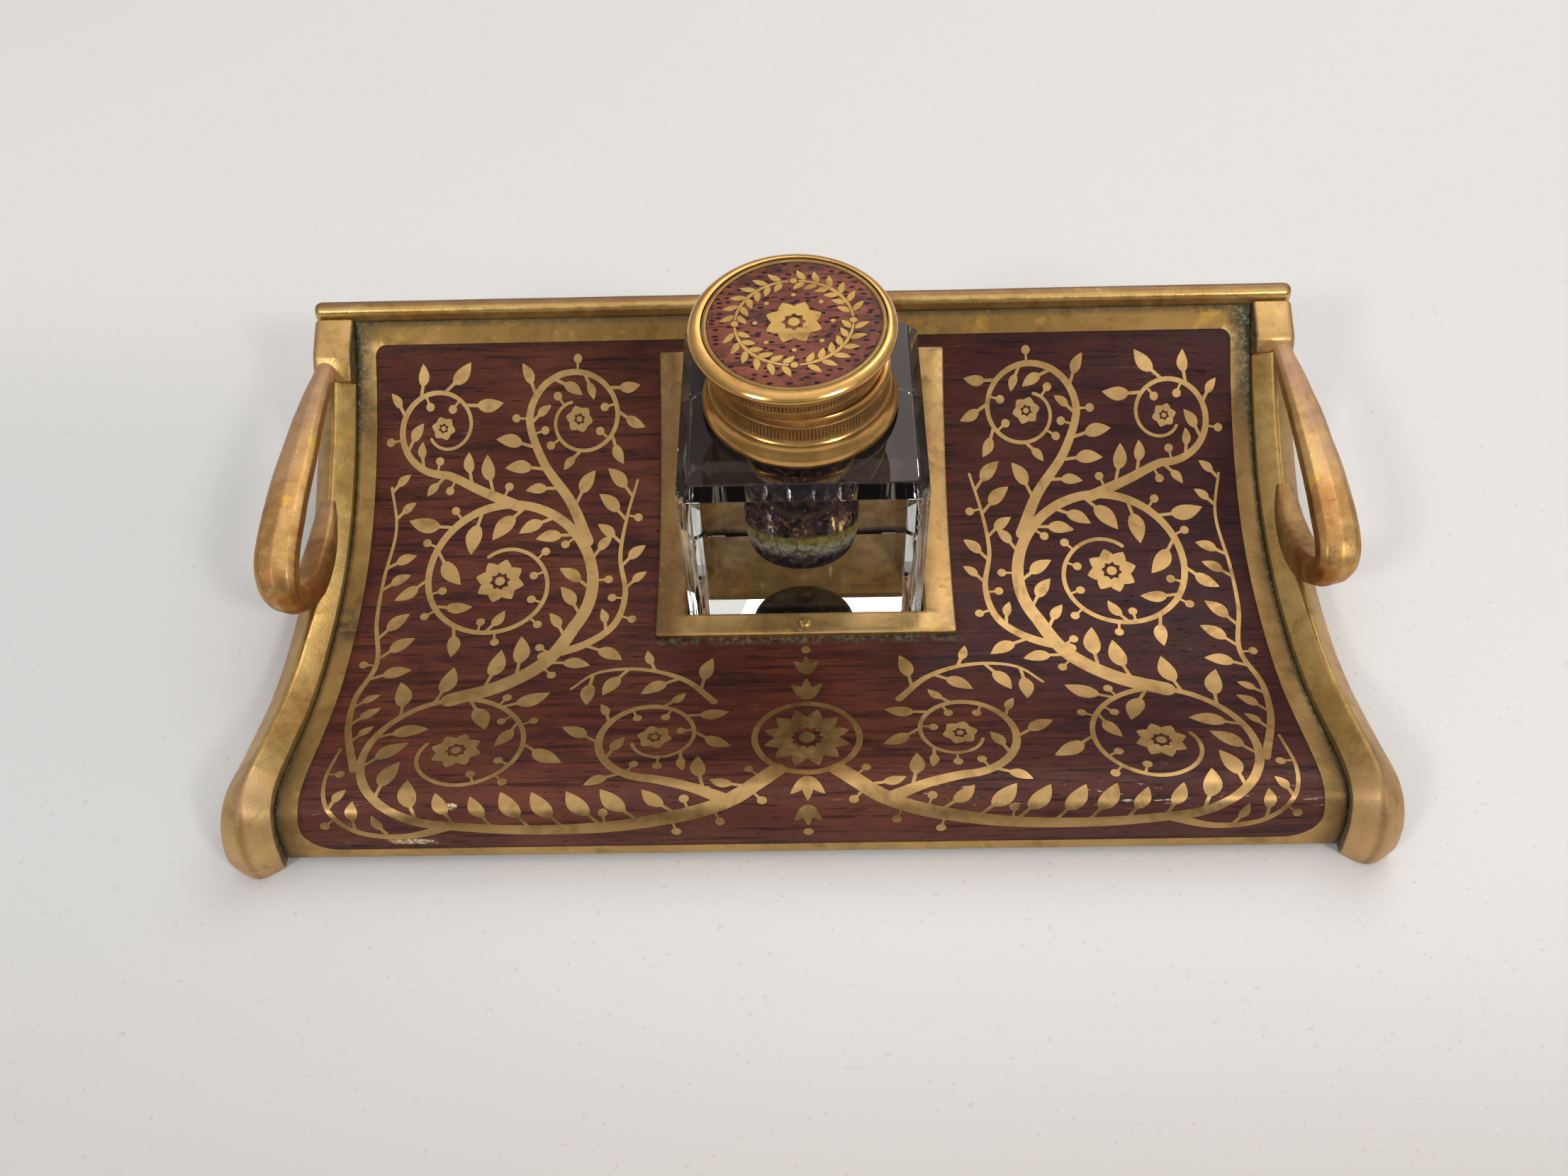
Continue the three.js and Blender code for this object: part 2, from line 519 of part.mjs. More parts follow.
// ------------------------------------------------------------------ collar
const collarGroup = new THREE.Group();
collarGroup.position.set(COLLAR_X, WELL_Y, 0);
root.add(collarGroup);
add('collar_cement', lathe([[16.0, 56.3], [25.0, 56.3], [25.0, 57.0], [16.0, 57.0], [16.0, 56.3]], 48), 0x3a3732, 0.8, 0, collarGroup);
add('collar', lathe([
  [16.6, COLLAR_Z0], [COLLAR_R, COLLAR_Z0], [COLLAR_R + 0.1, 58.2], [25.2, 59.3], [24.3, 60.6], [23.75, 61.7], [23.6, 62.4],
  [23.45, 62.8], [23.45, 63.5], [23.1, 63.9], [23.1, 68.9], [22.9, 69.3], [22.9, 71.1], [22.5, COLLAR_Z1],
  [COLLAR_BORE + 0.3, COLLAR_Z1], [COLLAR_BORE, 71.2], [COLLAR_BORE, 59.2], [16.6, 58.9], [16.6, COLLAR_Z0],
], 48), 0xc69a4c, 0.25, 1, collarGroup);

// ------------------------------------------------------------------ hinge
const HY = HINGE_Y;
function knuckle(x0, x1) {
  const outer = new THREE.CylinderGeometry(KNUCKLE_R, KNUCKLE_R, x1 - x0, 24);
  outer.rotateZ(Math.PI / 2);
  outer.translate((x0 + x1) / 2, HY, HINGE_Z);
  const bore = new THREE.CylinderGeometry(PIN_R + GAP, PIN_R + GAP, x1 - x0 + 2, 20);
  bore.rotateZ(Math.PI / 2);
  bore.translate((x0 + x1) / 2, HY, HINGE_Z);
  return { outer: solid(outer), bore: solid(bore) };
}
const aroundCollar = solid(lathe([[0, 50], [23.4, 50], [23.4, 90], [0, 90]], 48));
const aroundLid = solid(lathe([[0, 50], [23.4, 50], [23.4, 90], [0, 90]], 48)).translate([LID_SHIFT[0], LID_SHIFT[1], 0]);
function leafPart(spans, plateZ0, plateZ1, clear) {
  let body = null, bores = null;
  for (const [x0, x1] of spans) {
    const k = knuckle(x0, x1);
    const p = solid(new THREE.BoxGeometry(x1 - x0, HY - 20, plateZ1 - plateZ0).translate((x0 + x1) / 2, (HY + 20) / 2, (plateZ0 + plateZ1) / 2));
    const piece = k.outer.add(p);
    body = body ? body.add(piece) : piece;
    bores = bores ? bores.add(k.bore) : k.bore;
  }
  return body.subtract(bores).subtract(clear);
}
// collar leaf: two outer knuckles joined by a plate below the axis
const collarLeaf = leafPart([[-7.5, -3.0], [3.0, 7.5]], 65.6, HINGE_Z - 0.2, aroundCollar)
  .add(solid(new THREE.BoxGeometry(15, 1.5, 3.2).translate(0, HY - 0.95, 66.9)).subtract(aroundCollar));
add('collar_hinge_leaf', shapeOf(collarLeaf), 0xb98f48, 0.32, 1, collarGroup);
add('lid_hinge_leaf', shapeOf(leafPart([[-2.6, 2.6]], HINGE_Z + 0.4, 78.2, aroundLid)), 0xb98f48, 0.32, 1, collarGroup);
const pin = new THREE.CylinderGeometry(PIN_R, PIN_R, 15.6, 16);
pin.rotateZ(Math.PI / 2);
pin.translate(0, HY, HINGE_Z);
add('hinge_pin', pin, 0x8e8578, 0.35, 1, collarGroup);

// ------------------------------------------------------------------ lid
const LID_CX = 0.45, LID_CY = 0.3;        // the recess and its disc are a little off centre
const lidTurned = solid(lathe([
  [0, 8.0], [20.9, 8.0], [20.9, 0.2], [21.2, 0], [22.5, 0], [LID_SKIRT, 0.3], [LID_SKIRT, 2.2], [22.95, 2.4], [22.95, 5.0],
  [LID_SKIRT, 5.3], [22.6, 5.7], [22.8, 6.4], [23.6, 7.2], [24.8, 7.9], [25.7, 8.4], [LID_R, 9.1], [25.8, 9.7],
  [25.2, 10.3], [24.5, 10.7], [23.9, 10.8], [0, 10.8],
], 48));
const recess = solid(lathe([[0, 9.2], [23.1, 9.2], [23.1, 12], [0, 12]], 48)).translate([LID_CX, LID_CY, 0]);
add('lid_shell', shapeOf(lidTurned.subtract(recess)), 0xcaa053, 0.25, 1, lidGroup);
const offCentre = (g) => { g.translate(LID_CX, LID_CY, 0); return g; };
add('lid_disc_ring', offCentre(lathe([[21.9, 9.5], [22.8, 9.5], [22.8, 10.6], [21.9, 10.6], [21.9, 9.5]], 48)), 0xa98a52, 0.35, 0.95, lidGroup);
add('lid_disc', offCentre(lathe([[0, 9.5], [21.6, 9.5], [21.6, 10.6], [0, 10.6]], 48)), 0x96523c, 0.4, 0, lidGroup);
add('lid_liner', lathe([
  [0, 6.4], [17.2, 6.4], [17.2, -1.2], [18.3, -1.2], [18.3, 7.7], [0, 7.7],
], 40), 0xa98346, 0.4, 0.95, lidGroup);

export default root;
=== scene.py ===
import math

import bmesh
import bpy
import numpy as np
from mathutils import Matrix, Vector, geometry, noise

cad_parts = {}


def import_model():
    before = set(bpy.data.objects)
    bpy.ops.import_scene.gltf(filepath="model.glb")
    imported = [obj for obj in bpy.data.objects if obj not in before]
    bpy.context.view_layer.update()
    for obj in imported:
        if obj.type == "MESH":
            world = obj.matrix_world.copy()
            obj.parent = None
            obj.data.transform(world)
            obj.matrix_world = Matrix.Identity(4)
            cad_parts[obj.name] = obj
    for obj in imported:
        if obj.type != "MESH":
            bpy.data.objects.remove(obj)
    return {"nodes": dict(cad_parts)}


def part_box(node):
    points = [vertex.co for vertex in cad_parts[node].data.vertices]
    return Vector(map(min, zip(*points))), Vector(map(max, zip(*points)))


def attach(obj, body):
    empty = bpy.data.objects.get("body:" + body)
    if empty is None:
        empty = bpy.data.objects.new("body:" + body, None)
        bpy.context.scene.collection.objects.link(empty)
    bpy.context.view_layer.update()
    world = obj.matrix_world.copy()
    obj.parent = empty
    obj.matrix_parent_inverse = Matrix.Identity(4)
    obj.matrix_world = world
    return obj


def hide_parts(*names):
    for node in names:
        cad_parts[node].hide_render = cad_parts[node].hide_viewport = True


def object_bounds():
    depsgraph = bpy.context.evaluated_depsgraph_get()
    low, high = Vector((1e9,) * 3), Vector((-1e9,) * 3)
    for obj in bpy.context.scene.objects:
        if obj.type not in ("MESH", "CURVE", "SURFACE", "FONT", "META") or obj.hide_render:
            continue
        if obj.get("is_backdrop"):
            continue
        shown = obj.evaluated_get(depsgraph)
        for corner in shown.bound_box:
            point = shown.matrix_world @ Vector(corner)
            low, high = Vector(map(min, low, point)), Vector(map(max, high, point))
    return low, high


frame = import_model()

cad_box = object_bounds()

# ---------------------------------------------------------------- sizes, in millimetres
WELL_Y = 101.5
_lo, _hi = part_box("glass_well")
YS = (_lo.y + _hi.y) * 500.0 - WELL_Y      # from the drawing's y to the frame's y

GAP = 0.3
BOARD_HALF = 129.0
RAIL_IN, RAIL_OUT, RAIL_T, RAIL_RIDGE, FOOT_FLARE = 129.3, 140.0, 6.3, 3.8, 2.4
SURF, SKIN_T = -1.8, 1.0
BORDER, CORNER_FRONT, CORNER_BACK = 5.6, 9.0, 3.0
GLASS, GLASS_Z0, GLASS_Z1, GLASS_CORNER, GLASS_BEVEL, GLASS_BEVEL_H = 64.0, 2.0, 56.0, 2.4, 2.8, 3.5
HOLLOW_R, HOLLOW_Z, HOLLOW_X = 15.1, 9.6, -0.5
FRAME_OPEN, FRAME_SIZE, FRAME_T = 65.6, 81.6, 1.2
BOARD_HOLE = 67.6
COLLAR_X, COLLAR_R, COLLAR_Z0, COLLAR_Z1, COLLAR_BORE = -0.3, 25.5, 57.3, 71.6, 20.4
LID_R, LID_SKIRT, LID_Z0 = 26.0, 22.8, 72.95
LID_SHIFT = (-1.4, -0.7)
DISC_X, DISC_Y = 0.45, 0.3
LID_TILT_Y, LID_TILT_X = 1.2, 2.2
HINGE_Y, HINGE_Z, KNUCKLE_R, PIN_R = 25.6, 71.9, 1.9, 0.9
BACK_Y0, BACK_T, BACK_TOP = 149.6, 4.8, 47.9


def smooth(a, b, t):
    u = np.clip((np.asarray(t, float) - a) / (b - a), 0, 1)
    return u * u * (3 - 2 * u)


# ---------------------------------------------------------------- the wave
WAVE = np.array([
    [-2.2, 0], [-2.9, 4], [-2.6, 8.2], [-1.6, 12.3], [0.3, 16], [3.2, 18.8], [7.2, 20.0],
    [12, 19.5], [20, 17.1], [30, 13.7], [40, 10.7], [50, 8.8], [60, 7.9], [70, 7.8],
    [80, 8.4], [90, 10.1], [100, 13.0], [110, 17.2], [120, 22.4], [130, 28.5], [140, 35.5],
    [145, 39.4], [150.5, 43.8]], float)


def spline(points, per=40, power=0.25):
    """Catmull-Rom through the points, centripetal, as a dense polyline."""
    p = np.asarray(points, float)
    out = []
    for i in range(len(p) - 1):
        p0 = p[i - 1] if i > 0 else 2 * p[0] - p[1]
        p1, p2 = p[i], p[i + 1]
        p3 = p[i + 2] if i + 2 < len(p) else 2 * p[-1] - p[-2]
        d0 = max(1e-4, ((p1 - p0) ** 2).sum() ** power)
        d1 = max(1e-4, ((p2 - p1) ** 2).sum() ** power)
        d2 = max(1e-4, ((p3 - p2) ** 2).sum() ** power)
        t1 = ((p1 - p0) / d0 - (p2 - p0) / (d0 + d1) + (p2 - p1) / d1) * d1
        t2 = ((p2 - p1) / d1 - (p3 - p1) / (d1 + d2) + (p3 - p2) / d2) * d1
        c2 = -3 * p1 + 3 * p2 - 2 * t1 - t2
        c3 = 2 * p1 - 2 * p2 + t1 + t2
        for k in range(per):
            t = k / per
            out.append(p1 + t1 * t + c2 * t * t + c3 * t ** 3)
    out.append(p[-1])
    return np.array(out)


_w = spline(WAVE, 120)
_ws = np.concatenate([[0], np.cumsum(np.linalg.norm(np.diff(_w, axis=0), axis=1))])
WAVE_LEN = _ws[-1]
_wt = np.gradient(_w, _ws, axis=0)
_wt /= np.linalg.norm(_wt, axis=1)[:, None]


def wave(s, h=0.0):
    """(y, z) of the point h above the wave at arc length s."""
    s = np.asarray(s, float)
    y, z = np.interp(s, _ws, _w[:, 0]), np.interp(s, _ws, _w[:, 1])
    ty, tz = np.interp(s, _ws, _wt[:, 0]), np.interp(s, _ws, _wt[:, 1])
    y = y + np.where(s < 0, s * _wt[0, 0], 0)
    z = z + np.where(s < 0, s * _wt[0, 1], 0)
    return np.stack([y - h * tz, z + h * ty], -1)


def climb(s):
    """How far the board rises above the wave towards its back edge."""
    return 3.5 * np.clip((np.asarray(s, float) - 120) / 56, 0, None) ** 3


def board_at(s, h=0.0):
    c = climb(s)
    return wave(s, h) + np.stack([0 * c, c], -1)


def s_of_y(y, h=0.0):
    ss = np.linspace(24, WAVE_LEN, 4000)
    yy = wave(ss, h)[:, 0]
    return float(np.interp(y, yy, ss))


def stations(s0, s1, fine, coarse):
    out, s = [s0], s0
    while s < s1 - 1e-6:
        step = fine + (coarse - fine) * float(smooth(24, 46, s))
        s = min(s1, s + step)
        if s1 - s < step * 0.4:
            s = s1
        out.append(s)
    return np.array(out)


# ---------------------------------------------------------------- meshes
BOX_LO, BOX_HI = np.array(cad_box[0]) + 2e-6, np.array(cad_box[1]) - 2e-6


def place(v):
    v = np.array(v, float).reshape(-1, 3)
    v[:, 1] += YS
    return v * 0.001


def make(name, verts, faces, mats, body, replaces=(), sharp=38, attrs=None, face_mat=None):
    """One closed mesh from points in drawing millimetres."""
    me = bpy.data.meshes.new(name)
    me.from_pydata(np.clip(place(verts), BOX_LO, BOX_HI).tolist(), [], [list(map(int, f)) for f in faces])
    me.validate()
    me.update()
    for m in (mats if isinstance(mats, (list, tuple)) else [mats]):
        me.materials.append(m)
    if face_mat is not None:
        me.polygons.foreach_set("material_index", np.asarray(face_mat, np.int32))
    for k, a in (attrs or {}).items():
        me.attributes.new(k, "FLOAT", "POINT").data.foreach_set("value", np.asarray(a, np.float32))
    me.shade_smooth()
    me.set_sharp_from_angle(angle=math.radians(sharp))
    for q in me.polygons:
        if len(q.vertices) > 8:
            q.use_smooth = False
    ob = bpy.data.objects.new(name, me)
    bpy.context.scene.collection.objects.link(ob)
    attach(ob, body)
    if replaces:
        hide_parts(*replaces)
    return ob


def bake_modifiers(ob):
    """Replaces the object's mesh by the mesh its modifiers make."""
    dg = bpy.context.evaluated_depsgraph_get()
    me = bpy.data.meshes.new_from_object(ob.evaluated_get(dg), depsgraph=dg)
    ob.modifiers.clear()
    ob.data = me


def bevelled(ob, width, segments=3, angle=35):
    m = ob.modifiers.new("bevel", "BEVEL")
    m.width, m.segments, m.limit_method, m.angle_limit = width * 0.001, segments, "ANGLE", math.radians(angle)
    m.harden_normals = False
    bake_modifiers(ob)
    ob.data.shade_smooth()
    ob.data.set_sharp_from_angle(angle=math.radians(50))
    return ob


def loft(rings, closed=False):
    """Rings of equal length joined into one body; capped with a fan at both ends unless closed."""
    rings = np.asarray(rings, float)
    m, n = rings.shape[:2]
    v = rings.reshape(-1, 3)
    f = []
    for i in range(m if closed else m - 1):
        a0, b0 = i * n, ((i + 1) % m) * n
        for j in range(n):
            k = (j + 1) % n
            f.append((a0 + j, a0 + k, b0 + k, b0 + j))
    if not closed:
        v = np.vstack([v, rings[0].mean(0), rings[-1].mean(0)])
        c0, c1 = m * n, m * n + 1
        for j in range(n):
            k = (j + 1) % n
            f.append((c0, k, j))
            f.append((c1, (m - 1) * n + j, (m - 1) * n + k))
    return outward(v, f)


def outward(v, f):
    """Turns all faces over if the body's volume comes out negative."""
    v = np.asarray(v, float)
    vol = 0.0
    for q in f:
        for i in range(1, len(q) - 1):
            vol += np.dot(v[q[0]], np.cross(v[q[i]], v[q[i + 1]]))
    if vol < 0:
        f = [tuple(reversed(q)) for q in f]
    return v, f


def rounded(points, radii, n=4):
    """A closed polygon with each corner rounded by an arc of n steps."""
    pts = [np.array(p, float) for p in points]
    m, out = len(pts), []
    for i, b in enumerate(pts):
        if radii[i] == 0:
            out.append(b)
            continue
        u, v = pts[i - 1] - b, pts[(i + 1) % m] - b
        lu, lv = np.linalg.norm(u), np.linalg.norm(v)
        u, v = u / lu, v / lv
        half = math.acos(float(np.clip(u @ v, -1, 1))) / 2
        if half > math.pi / 2 - 0.02:
            d = 0.2 * min(lu, lv)
            for k in range(n + 1):
                t = k / n
                out.append(b + u * d * (1 - t) if t < 0.5 else b + v * d * t)
            out[-(n + 1):] = [b + u * d * (1 - 2 * k / n) if k * 2 < n else b + v * d * (2 * k / n - 1) for k in range(n + 1)]
            continue
        d = min(radii[i] / math.tan(half), 0.46 * lu, 0.46 * lv)
        r = d * math.tan(half)
        c = b + (u + v) / np.linalg.norm(u + v) * (r / math.sin(half))
        p0, p1 = b + u * d - c, b + v * d - c
        a0, a1 = math.atan2(p0[1], p0[0]), math.atan2(p1[1], p1[0])
        da = (a1 - a0 + math.pi) % (2 * math.pi) - math.pi
        for k in range(n + 1):
            a = a0 + da * k / n
            out.append(c + r * np.array([math.cos(a), math.sin(a)]))
    return np.array(out)


def lathe(profile, segments, radius=None):
    """A closed profile of (r, z) turned round Z. radius(r, z, angles) may vary r round the turn."""
    p = np.asarray(profile, float)
    a = np.arange(segments) * 2 * math.pi / segments
    if np.allclose(p[0], p[-1]):
        p = p[:-1]
    closed = not (p[0][0] < 1e-6 and p[-1][0] < 1e-6)
    v, f, start = [], [], []
    for r, z in p:
        start.append(len(v))
        if r < 1e-6:
            v.append((0, 0, z))
            continue
        rr = np.full(segments, r) if radius is None else radius(r, z, a)
        v += [(q * math.cos(t), q * math.sin(t), z) for q, t in zip(rr, a)]
    m = len(p)
    one = [p[i][0] < 1e-6 for i in range(m)]
    for i in range(m if closed else m - 1):
        j = (i + 1) % m
        for k in range(segments):
            l = (k + 1) % segments
            if one[i] and one[j]:
                continue
            if one[i]:
                f.append((start[i], start[j] + l, start[j] + k))
            elif one[j]:
                f.append((start[i] + k, start[i] + l, start[j]))
            else:
                f.append((start[i] + k, start[i] + l, start[j] + l, start[j] + k))
    return outward(v, f)


def wobble(v, amount, size, seed):
    """Small hand-finished unevenness: each point moves a little, smoothly over the surface."""
    out = np.array(v, float)
    for i, p in enumerate(out):
        q = Vector((p[0] / size + seed, p[1] / size, p[2] / size))
        out[i] = p + amount * np.array(noise.noise_vector(q))
    return out


# ---------------------------------------------------------------- sheets cut from a plan
class Plan:
    """Shapes in a flat plan, cut into one partition and laid on a surface."""

    def __init__(self):
        self.v, self.e, self.f, self.tag = [], [], [], []

    def poly(self, pts, tag):
        pts = np.asarray(pts, float)
        x, y = pts[:, 0], pts[:, 1]
        if (x * np.roll(y, -1) - y * np.roll(x, -1)).sum() < 0:
            pts = pts[::-1]
        i = len(self.v)
        self.v += [Vector(p) for p in pts]
        self.f.append(list(range(i, i + len(pts))))
        self.tag.append(tag)

    def line(self, a, b):
        i = len(self.v)
        self.v += [Vector(a), Vector(b)]
        self.e.append((i, i + 1))

    def cut(self):
        v, _, f, _, _, of = geometry.delaunay_2d_cdt(self.v, self.e, self.f, 0, 1e-5)
        return np.array([tuple(p) for p in v]), f, [set(self.tag[i] for i in o) for o in of]


def sheet(v2, tris, top, thick):
    """A closed thin body from plan triangles: top(v2, h) gives the 3-D place at height h."""
    used = sorted({i for t in tris for i in t})
    new = {o: k for k, o in enumerate(used)}
    p = v2[used]
    t = [tuple(new[i] for i in q) for q in tris]
    n = len(p)
    area = sum((p[b][0] - p[a][0]) * (p[c][1] - p[a][1]) - (p[b][1] - p[a][1]) * (p[c][0] - p[a][0]) for a, b, c in t)
    if area < 0:
        t = [tuple(reversed(q)) for q in t]
    v = np.vstack([top(p, 0.0), top(p, -thick)])
    count = {}
    for q in t:
        for a, b in ((q[0], q[1]), (q[1], q[2]), (q[2], q[0])):
            count[(a, b)] = count.get((a, b), 0) + 1
    f = list(t) + [tuple(n + i for i in reversed(q)) for q in t]
    for (a, b) in count:
        if (b, a) not in count:
            f.append((a, n + a, n + b, b))
    return v, f, p


# ---------------------------------------------------------------- the inlay, drawn as a plain scrolling vine
def ribbon(points, w, ends=True):
    """A band along a line; w is the full width at each point."""
    p = np.asarray(points, float)
    w = np.broadcast_to(np.asarray(w, float), (len(p),))
    t = np.gradient(p, axis=0)
    t /= np.maximum(np.linalg.norm(t, axis=1), 1e-9)[:, None]
    n = np.stack([-t[:, 1], t[:, 0]], 1)
    left, right = p + n * w[:, None] / 2, p - n * w[:, None] / 2
    out = list(left)
    if ends:
        a = math.atan2(n[-1][1], n[-1][0])
        out += [p[-1] + w[-1] / 2 * np.array([math.cos(a - k * math.pi / 6), math.sin(a - k * math.pi / 6)]) for k in range(1, 6)]
    out += list(right[::-1])
    if ends:
        a = math.atan2(-n[0][1], -n[0][0])
        out += [p[0] + w[0] / 2 * np.array([math.cos(a - k * math.pi / 6), math.sin(a - k * math.pi / 6)]) for k in range(1, 6)]
    return np.array(out)


def grown(poly, d):
    """The polygon with its outline moved out by d."""
    p = np.asarray(poly, float)
    if ((p[:, 0] * np.roll(p[:, 1], -1) - p[:, 1] * np.roll(p[:, 0], -1)).sum()) < 0:
        p = p[::-1]
    e = np.roll(p, -1, 0) - p
    e /= np.maximum(np.linalg.norm(e, axis=1), 1e-9)[:, None]
    n = np.stack([e[:, 1], -e[:, 0]], 1)
    m = n + np.roll(n, 1, 0)
    m /= np.maximum(np.linalg.norm(m, axis=1), 1e-6)[:, None]
    k = 1 / np.maximum((m * n).sum(1), 0.45)
    return p + m * (d * k)[:, None]


def circle(c, r, n=28):
    a = np.arange(n) * 2 * math.pi / n
    return np.stack([c[0] + r * np.cos(a), c[1] + r * np.sin(a)], 1)


def leaf(base, angle, length, width, bend=0.18, n=9):
    """A laurel leaf: a pointed oval on a curved midrib."""
    t = np.linspace(0, 1, n)
    half = width / 2 * np.sin(math.pi * t ** 0.78) ** 0.9
    x = t * length
    y = bend * length * (t - t * t) * 1.6
    up, down = np.stack([x, y + half], 1), np.stack([x, y - half], 1)
    pts = np.vstack([up, down[::-1][1:-1]])
    c, s = math.cos(angle), math.sin(angle)
    return pts @ np.array([[c, s], [-s, c]]) + np.array(base)


def spiral(c, r0, r1, a0, turns, n=90):
    """From radius r0 at angle a0 (degrees) inwards to r1; positive turns run anticlockwise."""
    t = np.linspace(0, 1, n)
    a = math.radians(a0) + t * turns * 2 * math.pi
    r = r0 + (r1 - r0) * t ** 1.15
    return np.stack([c[0] + r * np.cos(a), c[1] + r * np.sin(a)], 1)


def joined(key, tail):
    """A smooth line through the key points that runs on into the tail."""
    k = np.vstack([key, tail[:1], tail[4:5]])
    lead = spline(k, 14, 0.25)
    cut = 14 * len(key)
    return np.vstack([lead[:cut], tail])


class Vine:
    def __init__(self, inside):
        self.shapes, self.taken, self.inside = [], [], inside

    def add(self, poly, keep=True):
        self.shapes.append(np.asarray(poly, float))

    def stem(self, pts, w0, w1, power=1.6):
        pts = np.asarray(pts, float)
        d = np.concatenate([[0], np.cumsum(np.linalg.norm(np.diff(pts, axis=0), axis=1))])
        n = max(8, int(d[-1] / 1.15))
        q = np.stack([np.interp(np.linspace(0, d[-1], n), d, pts[:, k]) for k in (0, 1)], 1)
        w = w1 + (w0 - w1) * (1 - np.linspace(0, 1, n)) ** power
        self.add(ribbon(q, w))
        self.taken += [(p[0], p[1], x / 2) for p, x in zip(q, w)]
        return q, w

    def free(self, pts, r, near, skip):
        for p in pts:
            if not self.inside(p[0], p[1], 1.2 + r):
                return False
        t = np.array(self.taken)
        for p in pts:
            d = np.hypot(t[:, 0] - p[0], t[:, 1] - p[1]) - t[:, 2] - r
            far = np.hypot(t[:, 0] - near[0], t[:, 1] - near[1]) > skip
            if (d[far] < 1.0).any():
                return False
        return True

    def leaves(self, q, w, every=8.5, start=6.0, sizes=(8.4, 3.9), sides=(1, -1), stalk=2.6, end=4.0):
        d = np.concatenate([[0], np.cumsum(np.linalg.norm(np.diff(q, axis=0), axis=1))])
        s, k = start, 0
        while s < d[-1] - end:
            i = int(np.searchsorted(d, s))
            i = min(max(i, 1), len(q) - 2)
            t = q[i + 1] - q[i - 1]
            t /= np.linalg.norm(t)
            placed = False
            for side in (sides[k % len(sides)], sides[(k + 1) % len(sides)]):
                n = np.array([-t[1], t[0]]) * side
                for scale in (1.0, 0.8, 0.64):
                    out = t * 0.62 + n * 0.78
                    out /= np.linalg.norm(out)
                    base = q[i] + n * w[i] * 0.3
                    knee = base + out * (stalk * scale + w[i] * 0.3)
                    ang = math.atan2(out[1], out[0]) + 0.12 * side
                    L, W = sizes[0] * scale, sizes[1] * scale
                    mid = [knee + np.array([math.cos(ang), math.sin(ang)]) * L * f for f in (0.25, 0.55, 0.85, 1.0)]
                    if self.free(mid, W * 0.42, q[i], stalk + w[i] / 2 + 1.6):
                        self.add(ribbon(np.linspace(base, knee + out * 0.8, 4), 0.95, ends=False))
                        self.add(leaf(knee, ang, L, W, bend=-0.12 * side))
                        self.taken += [(m[0], m[1], W * 0.42) for m in mid[:3]]
                        placed = True
                        break
                if placed:
                    break
            s += every if placed else every * 0.4
            k += 1

    def berries(self, q, w, every=7.0, start=3.0, r=1.25, sides=(1, -1)):
        d = np.concatenate([[0], np.cumsum(np.linalg.norm(np.diff(q, axis=0), axis=1))])
        s, k = start, 0
        while s < d[-1] - 2:
            i = min(max(int(np.searchsorted(d, s)), 1), len(q) - 2)
            t = q[i + 1] - q[i - 1]
            t /= np.linalg.norm(t)
            n = np.array([-t[1], t[0]]) * sides[k % len(sides)]
            c = q[i] + n * (w[i] / 2 + r + 1.5)
            if self.free([c], r, q[i], w[i] / 2 + 1.3):
                self.add(ribbon(np.linspace(q[i] + n * w[i] * 0.3, c - n * r * 0.5, 3), 0.7, ends=False))
                self.add(circle(c, r, 14))
                self.taken.append((c[0], c[1], r))
            s += every
            k += 1

    def flower(self, c, r, petals, turn=0.0, eye=0.26):
        for k in range(petals):
            a = turn + 2 * math.pi * k / petals
            b = np.array(c) + r * (eye + 0.05) * np.array([math.cos(a), math.sin(a)])
            self.add(leaf(b, a, r * (0.95 - eye), r * 2.0 * math.sin(math.pi / petals) * 0.80, bend=0.0, n=9))
        self.add(circle(c, r * eye * 0.78, 16))
        self.taken.append((c[0], c[1], r))


S_FRONT = 1.5
_back = np.linspace(100, WAVE_LEN, 2000)
S_END = float(np.interp(BACK_Y0 - GAP - 0.35, wave(_back, SURF)[:, 0], _back))
F0, F1 = S_FRONT + 5.4, WAVE_LEN - 9.4
FIELD = BOARD_HALF - BORDER
HOLE0, HOLE1 = s_of_y(WELL_Y - BOARD_HOLE / 2, SURF), s_of_y(WELL_Y + BOARD_HOLE / 2, SURF)
PLATE0, PLATE1 = s_of_y(WELL_Y - FRAME_SIZE / 2 + 0.9), s_of_y(WELL_Y + FRAME_SIZE / 2 - 1.9)


def in_field(x, s, r):
    if abs(x) > FIELD - 1.6 - r or s < F0 + 1.6 + r or s > F1 - 1.2 - r or x < -0.2:
        return False
    if abs(x) < FRAME_SIZE / 2 + 1.0 + r and s > PLATE0 - 1.0 - r:
        return False
    if x > FIELD - 10 and s < F0 + 10 and math.hypot(x - (FIELD - 10), s - (F0 + 10)) > 9 - r:
        return False
    return True


